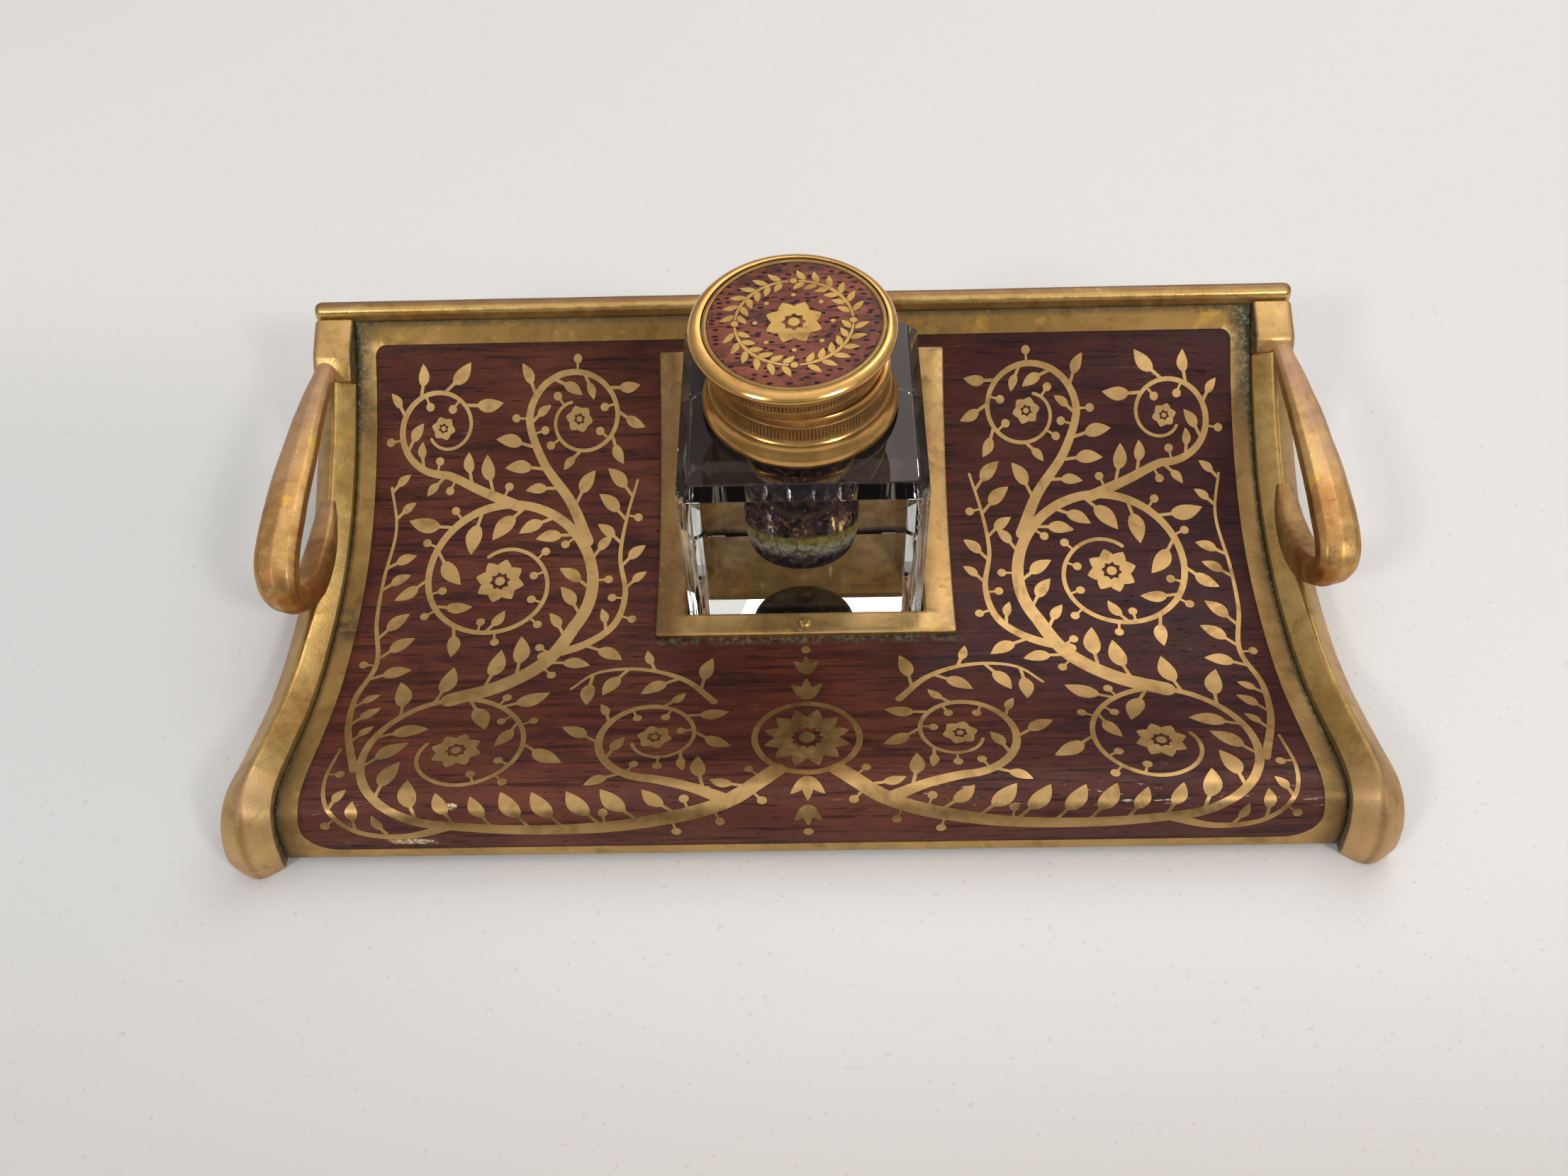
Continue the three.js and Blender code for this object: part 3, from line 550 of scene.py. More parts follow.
def board_pattern():
    v = Vine(in_field)
    # big scrolls: centre, radius, end radius, start angle, turns
    a_end, e_end, b_end = spiral((88, 41), 25.5, 8.2, -90, 1.30), spiral((38.5, 45), 15.5, 6.0, -90, 1.18), spiral((85.5, 101), 27, 8.6, 215, -1.42)
    c_end, d_end = spiral((104, 147), 13.5, 4.6, -95, 1.15), spiral((64.5, 149), 14.5, 5.2, 0, 1.18)
    a = v.stem(joined([(7.5, 31.8), (20, 21.5), (42, 15.2), (66, 13.6)], a_end), 4.6, 1.1)
    e = v.stem(joined([(20.5, 22.6), (29, 26.6)], e_end), 3.4, 0.95)
    b = v.stem(joined([(93.5, 60.6), (81, 65.4), (69.8, 74)], b_end), 4.8, 1.1)
    c = v.stem(joined([(82, 124.0), (92.5, 128.6)], c_end), 3.2, 0.9)
    d = v.stem(joined([(61.5, 113), (66.5, 124.5), (75, 137)], d_end), 3.4, 0.95)
    for centre, r, n in (((88, 41), 6.6, 8), ((38.5, 45), 4.6, 6), ((85.5, 101), 7.0, 8), ((104, 147), 3.5, 6), ((64.5, 149), 4.0, 6)):
        v.flower(centre, r, n, turn=0.2)
    f = v.stem(spline([(71, 75.6), (60, 79.5), (52.5, 86), (50, 96), (52, 108), (50.5, 120), (47.6, 131)], 12), 3.0, 0.8)
    g = v.stem(spline([(86, 15.4), (98, 11.9), (109, 13.6), (115.8, 20), (118.2, 30), (117.4, 42)], 12), 2.6, 0.8)
    h = v.stem(spline([(112.0, 34), (117.5, 50), (118.6, 62), (115.6, 74), (118.2, 88), (118.4, 102), (116.5, 118), (118.6, 130)], 12), 2.2, 0.8)
    k = v.stem(spline([(24, 58.5), (32, 66.5), (44, 70.6), (56, 69.4), (62, 64)], 12), 2.0, 0.8)
    for q, w in (a, b):
        v.leaves(q, w, every=9.0, start=9.0, sizes=(9.6, 4.6))
    for q, w in (f, k, g, h, d, c, e):
        v.leaves(q, w, every=7.2, start=5.0, sizes=(8.0, 3.9), end=1.0)
    for q, w in (a, b, e, d, c, f, h, g):
        v.berries(q, w, every=5.2, start=4.0)
    right = list(v.shapes)
    out = right + [np.stack([-p[:, 0], p[:, 1]], 1) for p in right]
    # the middle: a ringed rosette, with husks before it and behind it, each ending in a small disc
    m = Vine(lambda *_: True)
    for k in range(2):
        t = np.linspace(k * math.pi, (k + 1) * math.pi + 0.02, 40)
        m.add(ribbon(np.stack([13.2 * np.cos(t), 44 + 13.2 * np.sin(t)], 1), 1.7, ends=False))
    m.flower((0, 44), 11.2, 12, turn=math.pi / 12, eye=0.24)
    for s0, sign, n in ((29.6, -1, 2), (58.6, 1, 2)):
        y = s0
        for k in range(n):
            L = 8.2 - 1.6 * k
            for ang in (0.62, 0.0, -0.62):
                m.add(leaf((0, y), sign * math.pi / 2 + ang, L * (1.0 if ang == 0 else 0.9), 3.0 - 0.4 * k, bend=-0.25 * ang))
            y += sign * (L + 1.1)
        m.add(circle((0, y + sign * 0.9), 1.3, 14))
    return out + m.shapes


def border_pattern():
    """The outline of the field inside the brass border, with rounded corners."""
    pts = [(-FIELD, F0), (FIELD, F0), (FIELD, F1), (-FIELD, F1)]
    return rounded(pts, [CORNER_FRONT, CORNER_FRONT, CORNER_BACK, CORNER_BACK], 10)


def laid(p, h):
    yz = board_at(p[:, 1], SURF + h)
    return np.stack([p[:, 0], yz[:, 0], yz[:, 1]], 1)


# ---------------------------------------------------------------- node materials
def srgb(r, g, b, a=1.0):
    def lin(c):
        c /= 255.0
        return c / 12.92 if c <= 0.04045 else ((c + 0.055) / 1.055) ** 2.4
    return (lin(r), lin(g), lin(b), a)


class Nodes:
    def __init__(self, name):
        self.m = bpy.data.materials.new(name)
        self.m.use_nodes = True
        self.t = self.m.node_tree
        self.t.nodes.clear()
        self.out = self.t.nodes.new("ShaderNodeOutputMaterial")
        self.b = self.t.nodes.new("ShaderNodeBsdfPrincipled")
        self.t.links.new(self.b.outputs[0], self.out.inputs["Surface"])
        self.xyz = self.t.nodes.new("ShaderNodeTexCoord").outputs["Object"]

    def new(self, kind, **kw):
        n = self.t.nodes.new(kind)
        for k, v in kw.items():
            setattr(n, k, v)
        return n

    def put(self, socket, value):
        if isinstance(value, bpy.types.NodeSocket):
            self.t.links.new(value, socket)
        else:
            socket.default_value = value

    def stretch(self, x, y, z, rot=(0, 0, 0), loc=(0, 0, 0), src=None):
        n = self.new("ShaderNodeMapping")
        self.put(n.inputs["Vector"], src or self.xyz)
        n.inputs["Scale"].default_value = (x, y, z)
        n.inputs["Rotation"].default_value = rot
        n.inputs["Location"].default_value = loc
        return n.outputs[0]

    def noise(self, scale, detail=4.0, rough=0.55, distort=0.0, src=None, w=None):
        n = self.new("ShaderNodeTexNoise")
        if w is not None:
            n.noise_dimensions = "4D"
            n.inputs["W"].default_value = w
        self.put(n.inputs["Vector"], src or self.xyz)
        n.inputs["Scale"].default_value = scale
        n.inputs["Detail"].default_value = detail
        n.inputs["Roughness"].default_value = rough
        n.inputs["Distortion"].default_value = distort
        return n.outputs["Fac"]

    def cells(self, scale, src=None, feature="F1", rnd=1.0, dims="3D"):
        n = self.new("ShaderNodeTexVoronoi", feature=feature, voronoi_dimensions=dims)
        self.put(n.inputs["Vector"], src or self.xyz)
        n.inputs["Scale"].default_value = scale
        n.inputs["Randomness"].default_value = rnd
        return n.outputs["Distance"]

    def ramp(self, fac, stops, mode="LINEAR"):
        n = self.new("ShaderNodeValToRGB")
        n.color_ramp.interpolation = mode
        e = n.color_ramp.elements
        while len(e) < len(stops):
            e.new(0.5)
        for k, (pos, col) in enumerate(stops):
            e[k].position = pos
            e[k].color = col if isinstance(col, tuple) else (col, col, col, 1)
        self.put(n.inputs[0], fac)
        return n.outputs["Color"]

    def level(self, fac, lo, hi, to0=0.0, to1=1.0):
        n = self.new("ShaderNodeMapRange", interpolation_type="SMOOTHSTEP")
        self.put(n.inputs["Value"], fac)
        n.inputs["From Min"].default_value, n.inputs["From Max"].default_value = lo, hi
        n.inputs["To Min"].default_value, n.inputs["To Max"].default_value = to0, to1
        return n.outputs[0]

    def math(self, op, a, b=0.0, clamp=False):
        n = self.new("ShaderNodeMath", operation=op, use_clamp=clamp)
        self.put(n.inputs[0], a)
        self.put(n.inputs[1], b)
        return n.outputs[0]

    def mul(self, *v):
        out = v[0]
        for q in v[1:]:
            out = self.math("MULTIPLY", out, q)
        return out

    def add(self, a, b, clamp=False):
        return self.math("ADD", a, b, clamp)

    def most(self, a, b):
        return self.math("MAXIMUM", a, b)

    def inv(self, a):
        return self.math("SUBTRACT", 1.0, a, True)

    def mix(self, fac, a, b, mode="MIX"):
        n = self.new("ShaderNodeMix", data_type="RGBA", blend_type=mode)
        self.put(n.inputs[0], fac)
        self.put(n.inputs[6], a)
        self.put(n.inputs[7], b)
        return n.outputs[2]

    def mixf(self, fac, a, b):
        n = self.new("ShaderNodeMix", data_type="FLOAT")
        self.put(n.inputs[0], fac)
        self.put(n.inputs[2], a)
        self.put(n.inputs[3], b)
        return n.outputs[0]

    def attr(self, name):
        return self.new("ShaderNodeAttribute", attribute_name=name).outputs["Fac"]

    def axis(self, k, src=None):
        n = self.new("ShaderNodeSeparateXYZ")
        self.put(n.inputs[0], src or self.xyz)
        return n.outputs[k]

    def bump(self, height, distance, strength=1.0, under=None):
        n = self.new("ShaderNodeBump")
        self.put(n.inputs["Height"], height)
        n.inputs["Strength"].default_value = strength
        n.inputs["Distance"].default_value = distance
        if under is not None:
            self.put(n.inputs["Normal"], under)
        return n.outputs[0]

    def set(self, **kw):
        for k, v in kw.items():
            self.put(self.b.inputs[k.replace("_", " ")], v)
        return self


def brass(name, light, mid, dark, rough=(0.28, 0.5), stain=0.35, stain_color=srgb(104, 62, 34), bump=0.00006,
          grain=1.0, patches=0.4, seed=0.0, metallic=0.92, attrs=False, speck=0.5, spec=0.5, tan=None):
    """Old brass: two tones drifting over the surface, brown stains, tarnish in fine pits and, where the
    piece carries them, masks for a pinkish film (a painted highlight on the feet and right border), gold flakes, rusty
    brown that is partly painted shade, dirt with painted shade in seams and recesses, painted shade, and verdigris."""
    n = Nodes(name)
    big = n.noise(38, 5, 0.62, 0.6, w=seed)
    fine = n.noise(240, 6, 0.62, 0.2, w=seed + 3)
    pits = n.noise(1500, 3, 0.6, 0, w=seed + 5)
    tone = n.level(n.add(n.mul(big, 0.7), n.mul(fine, 0.3)), 0.36, 0.66)
    col = n.mix(tone, mid, light)
    if tan is not None:
        col = n.mix(n.attr("tan"), col, n.mix(tone, tan[0], tan[1]))
    dull = n.mul(n.level(n.noise(75, 7, 0.66, 1.2, w=seed + 9), 0.50, 0.68), patches)
    col = n.mix(dull, col, dark)
    st = n.mul(n.level(n.noise(120, 6, 0.7, 1.6, w=seed + 12), 0.57, 0.72), stain)
    col = n.mix(st, col, stain_color)
    pit = n.mul(n.level(pits, 0.60, 0.72), speck)
    r = n.mixf(n.level(fine, 0.35, 0.7), rough[0], rough[1])
    r = n.add(r, n.mul(n.most(dull, st), 0.16), True)
    h = n.add(n.mul(fine, 0.55 * grain), n.mul(pits, 0.25 * grain))
    metal = metallic
    if attrs:
        patch = n.noise(95, 6, 0.68, 0.9, w=seed + 15)
        # rusty orange-brown: partly tarnish, partly painted shade under and in front of parts
        rust_and_painted_shade = n.mul(n.attr("rust_and_painted_shade"), n.level(patch, 0.34, 0.62), 0.8)
        col = n.mix(rust_and_painted_shade, col, srgb(150, 88, 42))
        # pinkish film; where the mask is raised on the rail feet and the right border, the paler colour is a painted
        # highlight
        pk = n.mul(n.attr("pink"), n.level(n.noise(60, 5, 0.65, 0.6, w=seed + 16), 0.24, 0.50))
        col = n.mix(n.mul(pk, 0.85), col, n.mix(tone, srgb(176, 136, 104), srgb(204, 166, 134)))
        fl = n.mul(n.attr("flake"), n.level(n.noise(130, 4, 0.62, 0.5, w=seed + 17), 0.600, 0.625))
        col = n.mix(n.mul(fl, 0.8), col, srgb(226, 176, 78))
        r = n.mixf(pk, r, 0.56)
        metal = n.math("SUBTRACT", metal, n.mul(pk, 0.28), True)
        col = n.mix(pit, col, dark)
        # painted shade: a brown darkening wherever the shade mask is set
        sh = n.mul(n.attr("shade"), n.level(n.noise(150, 4, 0.6, 0.4, w=seed + 18), 0.10, 0.46))
        col = n.mix(sh, col, srgb(92, 66, 38))
        r = n.mixf(sh, r, 0.5)
        # dirt, and painted shade in seams, recesses, knurl gaps and under parts
        g = n.mul(n.attr("grime_and_painted_shade"), n.level(n.noise(300, 5, 0.7, 0.4, w=seed + 20), 0.20, 0.56))
        col = n.mix(g, col, srgb(58, 42, 26))
        v = n.mul(n.attr("verd"), n.level(n.noise(420, 6, 0.72, 0.8, w=seed + 21), 0.36, 0.62))
        vc = n.mix(n.level(n.noise(900, 4, 0.6, 0, w=seed + 22), 0.46, 0.66), srgb(62, 76, 52), srgb(156, 164, 132))
        col = n.mix(v, col, vc)
        metal = n.mul(n.inv(n.mul(v, 0.95)), n.inv(n.mul(g, 0.6)), metal)
        r = n.mixf(n.most(v, n.mul(g, 0.7)), r, 0.78)
        h = n.add(h, n.mul(v, 0.9))
    else:
        col = n.mix(pit, col, dark)
    n.set(Base_Color=col, Metallic=metal, Roughness=r, Normal=n.bump(h, bump))
    n.b.inputs["Specular IOR Level"].default_value = spec
    return n.m


def rosewood(name, base, warm, dark, blotch=None, streak=1.0, pores=1.0, marks=0.0, rough=(0.30, 0.46), attrs=False, coat=0.12, seed=0.0,
             along=(1.0, 1.0), tilt=0.0, dashes=0.0, spec=0.2, painted_light_and_shade=0.0):
    """Dark fine-grained wood; the grain runs along X."""
    n = Nodes(name)
    rot = (0, 0, tilt)
    g1 = n.noise(1.0, 6, 0.6, 0.7, src=n.stretch(14 * along[0], 190 * along[1], 190 * along[1], rot), w=seed)
    g2 = n.noise(1.0, 5, 0.62, 0.4, src=n.stretch(40 * along[0], 820 * along[1], 820 * along[1], rot), w=seed + 2)
    big = n.noise(26, 3, 0.5, 0.3, w=seed + 4)
    col = n.mix(n.level(n.add(n.mul(g1, 0.55), n.mul(big, 0.45)), 0.40, 0.60), base, warm)
    if blotch is not None:
        bl = n.noise(1.0, 5, 0.6, 0.9, src=n.stretch(42 * along[0], 120 * along[1], 120 * along[1], rot), w=seed + 5)
        col = n.mix(n.mul(n.level(bl, 0.50, 0.66), 0.62), col, blotch)
        if painted_light_and_shade:
            # painted shade: the wood darker towards +x; painted light: the front roll (world y below about -0.045 m)
            # lighter and warmer
            col = n.mix(n.mul(n.level(n.axis(0), 0.0, 0.09), painted_light_and_shade), col, blotch)
            col = n.mix(n.mul(n.level(n.axis(1), -0.045, -0.075), 0.26), col, srgb(120, 78, 66))
    s1 = n.mul(n.level(g1, 0.50, 0.62), 0.60 * streak)
    s2 = n.mul(n.level(g2, 0.53, 0.64), 0.70 * streak)
    col = n.mix(s1, col, dark)
    col = n.mix(s2, col, dark)
    po = n.noise(1.0, 3, 0.6, 0, src=n.stretch(230 * along[0], 2400 * along[1], 2400 * along[1], rot), w=seed + 7)
    pore = n.mul(n.level(po, 0.61, 0.68), pores)
    col = n.mix(n.mul(pore, 0.85), col, tuple(0.30 * c for c in dark[:3]) + (1,))
    if dashes:
        # short open pores in rows
        d1 = n.cells(1.0, src=n.stretch(275, 570, 1, rot), rnd=0.85, dims="2D")
        d2 = n.cells(1.0, src=n.stretch(560, 1250, 1, rot, loc=(0.31, 0.17, 0)), dims="2D")
        da = n.most(n.inv(n.level(d1, 0.16, 0.27)), n.mul(n.inv(n.level(d2, 0.10, 0.18)), 0.5))
        da = n.mul(da, n.level(n.noise(150, 4, 0.6, 0.4, w=seed + 9), 0.30, 0.46), dashes)
        col = n.mix(da, col, tuple(0.45 * c for c in dark[:3]) + (1,))
        pore = n.most(pore, n.mul(da, 0.7))
    r = n.mixf(n.level(n.noise(160, 4, 0.6, 0.3, w=seed + 8), 0.35, 0.65), rough[0], rough[1])
    r = n.add(r, n.mul(pore, 0.25), True)
    h = n.add(n.mul(g2, 0.35), n.mul(n.inv(pore), 0.8))
    if marks:
        # fine pale rubs and a few scratches
        sc = n.cells(1.0, src=n.stretch(60, 1100, 1100, rot=(0, 0, 0.35)), feature="DISTANCE_TO_EDGE")
        sk = n.mul(n.inv(n.level(sc, 0.0, 0.012)), n.level(n.noise(90, 4, 0.6, 0, w=seed + 30), 0.58, 0.68))
        sp = n.level(n.noise(1300, 2, 0.5, 0, w=seed + 31), 0.75, 0.81)
        wear = n.mul(n.most(n.mul(sk, 0.45), n.mul(sp, 0.55)), marks)
        col = n.mix(wear, col, srgb(176, 150, 132))
    if attrs:
        rub = n.mul(n.attr("rub"), n.level(n.noise(1.0, 5, 0.7, 0.3, src=n.stretch(150, 1100, 1100, rot=(0, 0, 0.12)), w=seed + 35), 0.605, 0.645))
        col = n.mix(n.mul(rub, 0.85), col, srgb(206, 188, 168))
        # dark mask: dirt, and painted shade next to the raised frame plate
        g = n.mul(n.attr("grime_and_painted_shade"), n.level(n.noise(340, 5, 0.7, 0.5, w=seed + 36), 0.26, 0.6))
        col = n.mix(g, col, srgb(34, 26, 20))
        v = n.mul(n.attr("verd"), n.level(n.noise(430, 6, 0.7, 0.6, w=seed + 37), 0.36, 0.56))
        col = n.mix(v, col, n.mix(n.level(n.noise(900, 3, 0.6, 0, w=seed + 38), 0.42, 0.62), srgb(74, 88, 60), srgb(164, 170, 140)))
        # a chipped patch, pale and fibrous
        cn = n.noise(1.0, 6, 0.75, 0.8, src=n.stretch(420, 620, 620), w=seed + 39)
        w = n.level(n.add(n.attr("wear"), n.mul(cn, 0.9)), 0.86, 0.96)
        fib = n.noise(1.0, 5, 0.7, 0.3, src=n.stretch(900, 1500, 1500), w=seed + 40)
        col = n.mix(w, col, n.mix(n.level(fib, 0.38, 0.62), srgb(128, 98, 66), srgb(226, 206, 170)))
        r = n.mixf(n.most(w, n.most(v, n.mul(g, 0.6))), r, 0.8)
        h = n.add(h, n.mul(w, fib, 3.0))
    n.set(Base_Color=col, Metallic=0.0, Roughness=r, Normal=n.bump(h, 0.00005))
    n.b.inputs["Specular IOR Level"].default_value = spec
    n.b.inputs["Coat Weight"].default_value = coat
    n.b.inputs["Coat Roughness"].default_value = 0.22
    return n.m


M = {}
M["wood"] = rosewood("dark_rosewood", srgb(80, 38, 31), srgb(104, 56, 40), srgb(34, 18, 19), blotch=srgb(46, 26, 34), marks=1.0, attrs=True, coat=0.03, spec=0.10, painted_light_and_shade=0.55)
M["lid_wood"] = rosewood("red_rosewood", srgb(122, 64, 48), srgb(154, 88, 66), srgb(50, 26, 26), blotch=srgb(48, 28, 34), streak=1.0, pores=0.5, marks=0.3, seed=40.0,
                         rough=(0.36, 0.5), along=(2.0, 0.8), tilt=-0.10, dashes=1.0, coat=0.04)
M["core"] = rosewood("core_wood", srgb(96, 58, 38), srgb(122, 78, 52), srgb(56, 32, 22), streak=0.8, pores=0.8, seed=60.0, rough=(0.55, 0.7), coat=0.0)
M["inlay"] = brass("inlaid_brass", srgb(206, 168, 98), srgb(176, 138, 76), srgb(124, 92, 50), rough=(0.30, 0.46), stain=0.30, patches=0.55,
                   attrs=True, seed=1.0, bump=0.00004, metallic=0.92, tan=(srgb(168, 134, 84), srgb(194, 158, 104)))
M["cast"] = brass("cast_brass", srgb(226, 190, 120), srgb(204, 164, 96), srgb(126, 88, 46), rough=(0.24, 0.42), stain=0.45, patches=0.42,
                  attrs=True, seed=2.0, bump=0.00014, metallic=0.88)
M["worn"] = brass("worn_cast_brass", srgb(224, 184, 118), srgb(194, 144, 86), srgb(136, 90, 50), rough=(0.32, 0.50), stain=0.5, patches=0.42,
                  stain_color=srgb(140, 78, 38), attrs=True, seed=7.0, bump=0.00018, metallic=0.88, speck=0.75)
M["sheet"] = brass("sheet_brass", srgb(226, 184, 118), srgb(200, 156, 96), srgb(128, 90, 54), rough=(0.28, 0.46), stain=0.5, patches=0.55,
                   stain_color=srgb(122, 66, 30), attrs=True, seed=11.0, bump=0.00005, metallic=0.80, tan=(srgb(178, 144, 92), srgb(208, 172, 112)))
M["bright"] = brass("bright_brass", srgb(228, 180, 108), srgb(202, 152, 84), srgb(136, 92, 50), rough=(0.17, 0.25), stain=0.14, patches=0.16, grain=0.5,
                    attrs=True, seed=15.0, bump=0.00001, metallic=0.86, speck=0.2)
M["plain"] = brass("plain_brass", srgb(184, 146, 84), srgb(150, 114, 64), srgb(96, 72, 44), rough=(0.36, 0.55), stain=0.35, patches=0.6, seed=19.0, bump=0.00006)
M["dull_ring"] = brass("dull_brass", srgb(170, 136, 84), srgb(146, 114, 68), srgb(112, 84, 50), rough=(0.36, 0.5), stain=0.25, patches=0.5, seed=23.0, bump=0.00004)
M["screw"] = brass("screw_brass", srgb(226, 190, 116), srgb(200, 158, 90), srgb(124, 92, 52), rough=(0.22, 0.36), stain=0.2, patches=0.3, seed=27.0, bump=0.00003, metallic=0.85)


def plain(name, a, b, scale, rough, bump, metallic=0.0, seed=0.0):
    n = Nodes(name)
    f = n.noise(scale, 6, 0.65, 0.5, w=seed)
    col = n.mix(n.level(f, 0.36, 0.64), a, b)
    r = n.mixf(n.noise(scale * 2.3, 3, 0.6, 0, w=seed + 2), rough[0], rough[1])
    n.set(Base_Color=col, Metallic=metallic, Roughness=r, Normal=n.bump(f, bump))
    return n.m


M["glue"] = plain("glue_line", srgb(26, 18, 15), srgb(48, 34, 26), 700, (0.6, 0.85), 0.00005, seed=3)
M["cement"] = plain("cement", srgb(34, 31, 29), srgb(74, 68, 60), 420, (0.7, 0.9), 0.0002, seed=5)
M["steel"] = plain("steel", srgb(120, 116, 110), srgb(158, 154, 148), 260, (0.35, 0.55), 0.00003, metallic=0.85, seed=9)


# ---------------------------------------------------------------- board, inlay and border
def nz(x, y, z=0.0, size=10.0, seed=0.0):
    return noise.noise(Vector((x / size + seed, y / size, z / size)))


def board():
    plan = Plan()
    w = BOARD_HALF
    plan.poly([(-w, S_FRONT), (w, S_FRONT), (w, S_END), (-w, S_END)], "outer")
    hh = BOARD_HOLE / 2
    plan.poly([(-hh, HOLE0), (hh, HOLE0), (hh, HOLE1), (-hh, HOLE1)], "hole")
    field = border_pattern()
    plan.poly(field, "field")
    plan.poly(grown(field, -0.10), "wood")
    for m in board_pattern():
        plan.poly(grown(m, 0.09), "gap")
        plan.poly(m, "inlay")
    for s in stations(S_FRONT, S_END, 0.7, 2.4):
        plan.line((-w - 1, s), (w + 1, s))
    for x in np.linspace(-w, w, 37)[1:-1]:
        plan.line((x, S_FRONT - 1), (x, S_END + 1))
    for x in (w - 0.35, w - 1.4):
        plan.line((x, S_FRONT - 1), (x, S_END + 1))
        plan.line((-x, S_FRONT - 1), (-x, S_END + 1))
    v2, tris, tags = plan.cut()
    brass_t, wood_t, all_t = [], [], []
    for t, g in zip(tris, tags):
        if "outer" not in g or "hole" in g or len(t) != 3:
            continue
        a, b, c = v2[t[0]], v2[t[1]], v2[t[2]]
        if abs((b[0] - a[0]) * (c[1] - a[1]) - (b[1] - a[1]) * (c[0] - a[0])) < 1e-7:
            continue
        all_t.append(t)
        if "field" not in g or "inlay" in g:
            brass_t.append(t)
        elif "wood" in g and "gap" not in g:
            wood_t.append(t)

    def top(lift, amount, seed, edge=True):
        def f(p, h):
            out = np.empty((len(p), 3))
            dz = np.zeros(len(p))
            if h == 0.0:
                for i, (x, s) in enumerate(p):
                    d = amount * (nz(x, s, 0, 15, seed) + 0.45 * nz(x, s, 3, 4.5, seed))
                    if edge:
                        side = min(w - abs(x), s - S_FRONT, S_END - s)
                        d -= 0.22 * (1 - min(1.0, max(0.0, side) / 0.36)) ** 2
                    dz[i] = d
            yz = np.stack([board_at(s, SURF + lift + h + d) for (x, s), d in zip(p, dz)])
            out[:, 0] = p[:, 0]
            out[:, 1:] = yz
            return out
        return f

    # brass
    v, f, p = sheet(v2, brass_t, top(0.0, 0.035, 1.0), 0.46)
    x, s = p[:, 0], p[:, 1]
    # darkening within 2 mm of the rail: painted shade of the rail's step, with dirt
    rail = np.clip(1 - (w - np.abs(x)) / 2.0, 0, 1) ** 1.2
    right = (x > 0)
    far = smooth(136, 160, s)
    strip = np.clip((w - np.abs(x) < 2.7 + 0.5 * np.sin(s * 0.9)) * 1.0, 0, 1) * far
    line = smooth(0.95, 0.45, w - np.abs(x)) * smooth(30, 44, s)
    corner = np.clip(1 - np.hypot(np.abs(x) - w, s - S_END) / 13.0, 0, 1) * right
    backe = np.clip(1 - (S_END - s) / 1.6, 0, 1) ** 1.5
    dots = (s < 44) * np.clip(1 - (w - np.abs(x)) / 0.7, 0, 1) * 0.7
    stains = np.zeros(len(x))
    for px, ps, pr, k in ((-125.8, 85.4, 4.2, 0.9), (-126.6, 92.0, 2.2, 0.7), (-124.6, 79.5, 1.5, 0.5), (126.3, 104.0, 1.6, 0.6), (-125.4, 112, 1.2, 0.5), (127.0, 66.0, 1.8, 0.5)):
        stains = np.maximum(stains, k * np.clip(1.25 - np.hypot(x - px, (s - ps) * 0.8) / pr, 0, 1))
    frontcorner = np.clip(1 - np.hypot(np.abs(x) - w, s - 26) / 16, 0, 1) * 0.25
    # painted shade: a brown band along the rail wall, strongest at the front, and a darker strip along the back
    shade = smooth(4.4, 0.2, w - np.abs(x)) * (0.10 + 0.80 * smooth(56, 32, s)) + 0.62 * (s > F1)
    verd = np.clip(np.where(right, 0.95, 0.30) * line + np.where(right, 0.9, 0.75) * strip + 0.6 * corner ** 1.3 + dots + 0.25 * backe, 0, 1)
    # dirt and painted shade: darker against the rail, at the back edge under the back rail and at the front corners;
    # the stains and the joint round the field are dirt
    grime_and_painted_shade = np.clip(0.95 * rail + 0.7 * backe + 0.3 * corner + frontcorner + stains + np.where(right, 0.6, 0.25) * strip
                    + 0.35 * np.clip(1 - np.abs(np.abs(x) - FIELD) / 0.9, 0, 1) * (s > F0), 0, 1)
    two = lambda a: np.concatenate([a, a])
    tan = smooth(FIELD - 0.1, FIELD - 1.2, np.abs(x)) * (s > F0 + 0.4) * (s < F1 - 0.4)
    gold = 0.8 * smooth(9, 2, S_END - s) + 0.25 * (1 - tan)
    # the border's pinkish mask is stronger on the right side: a painted highlight that makes it paler there
    make("inlay_and_border", v, f, M["inlay"], "stand", ("brass_border",),
         attrs={"verd": two(verd), "grime_and_painted_shade": two(grime_and_painted_shade), "tan": two(tan), "flake": two(gold), "shade": two(np.clip(shade, 0, 1)),
                "pink": two(0.40 * smooth(FIELD - 0.2, FIELD + 0.4, np.abs(x)) * smooth(30, 50, s) * np.where(right, 1.0, 0.45))})

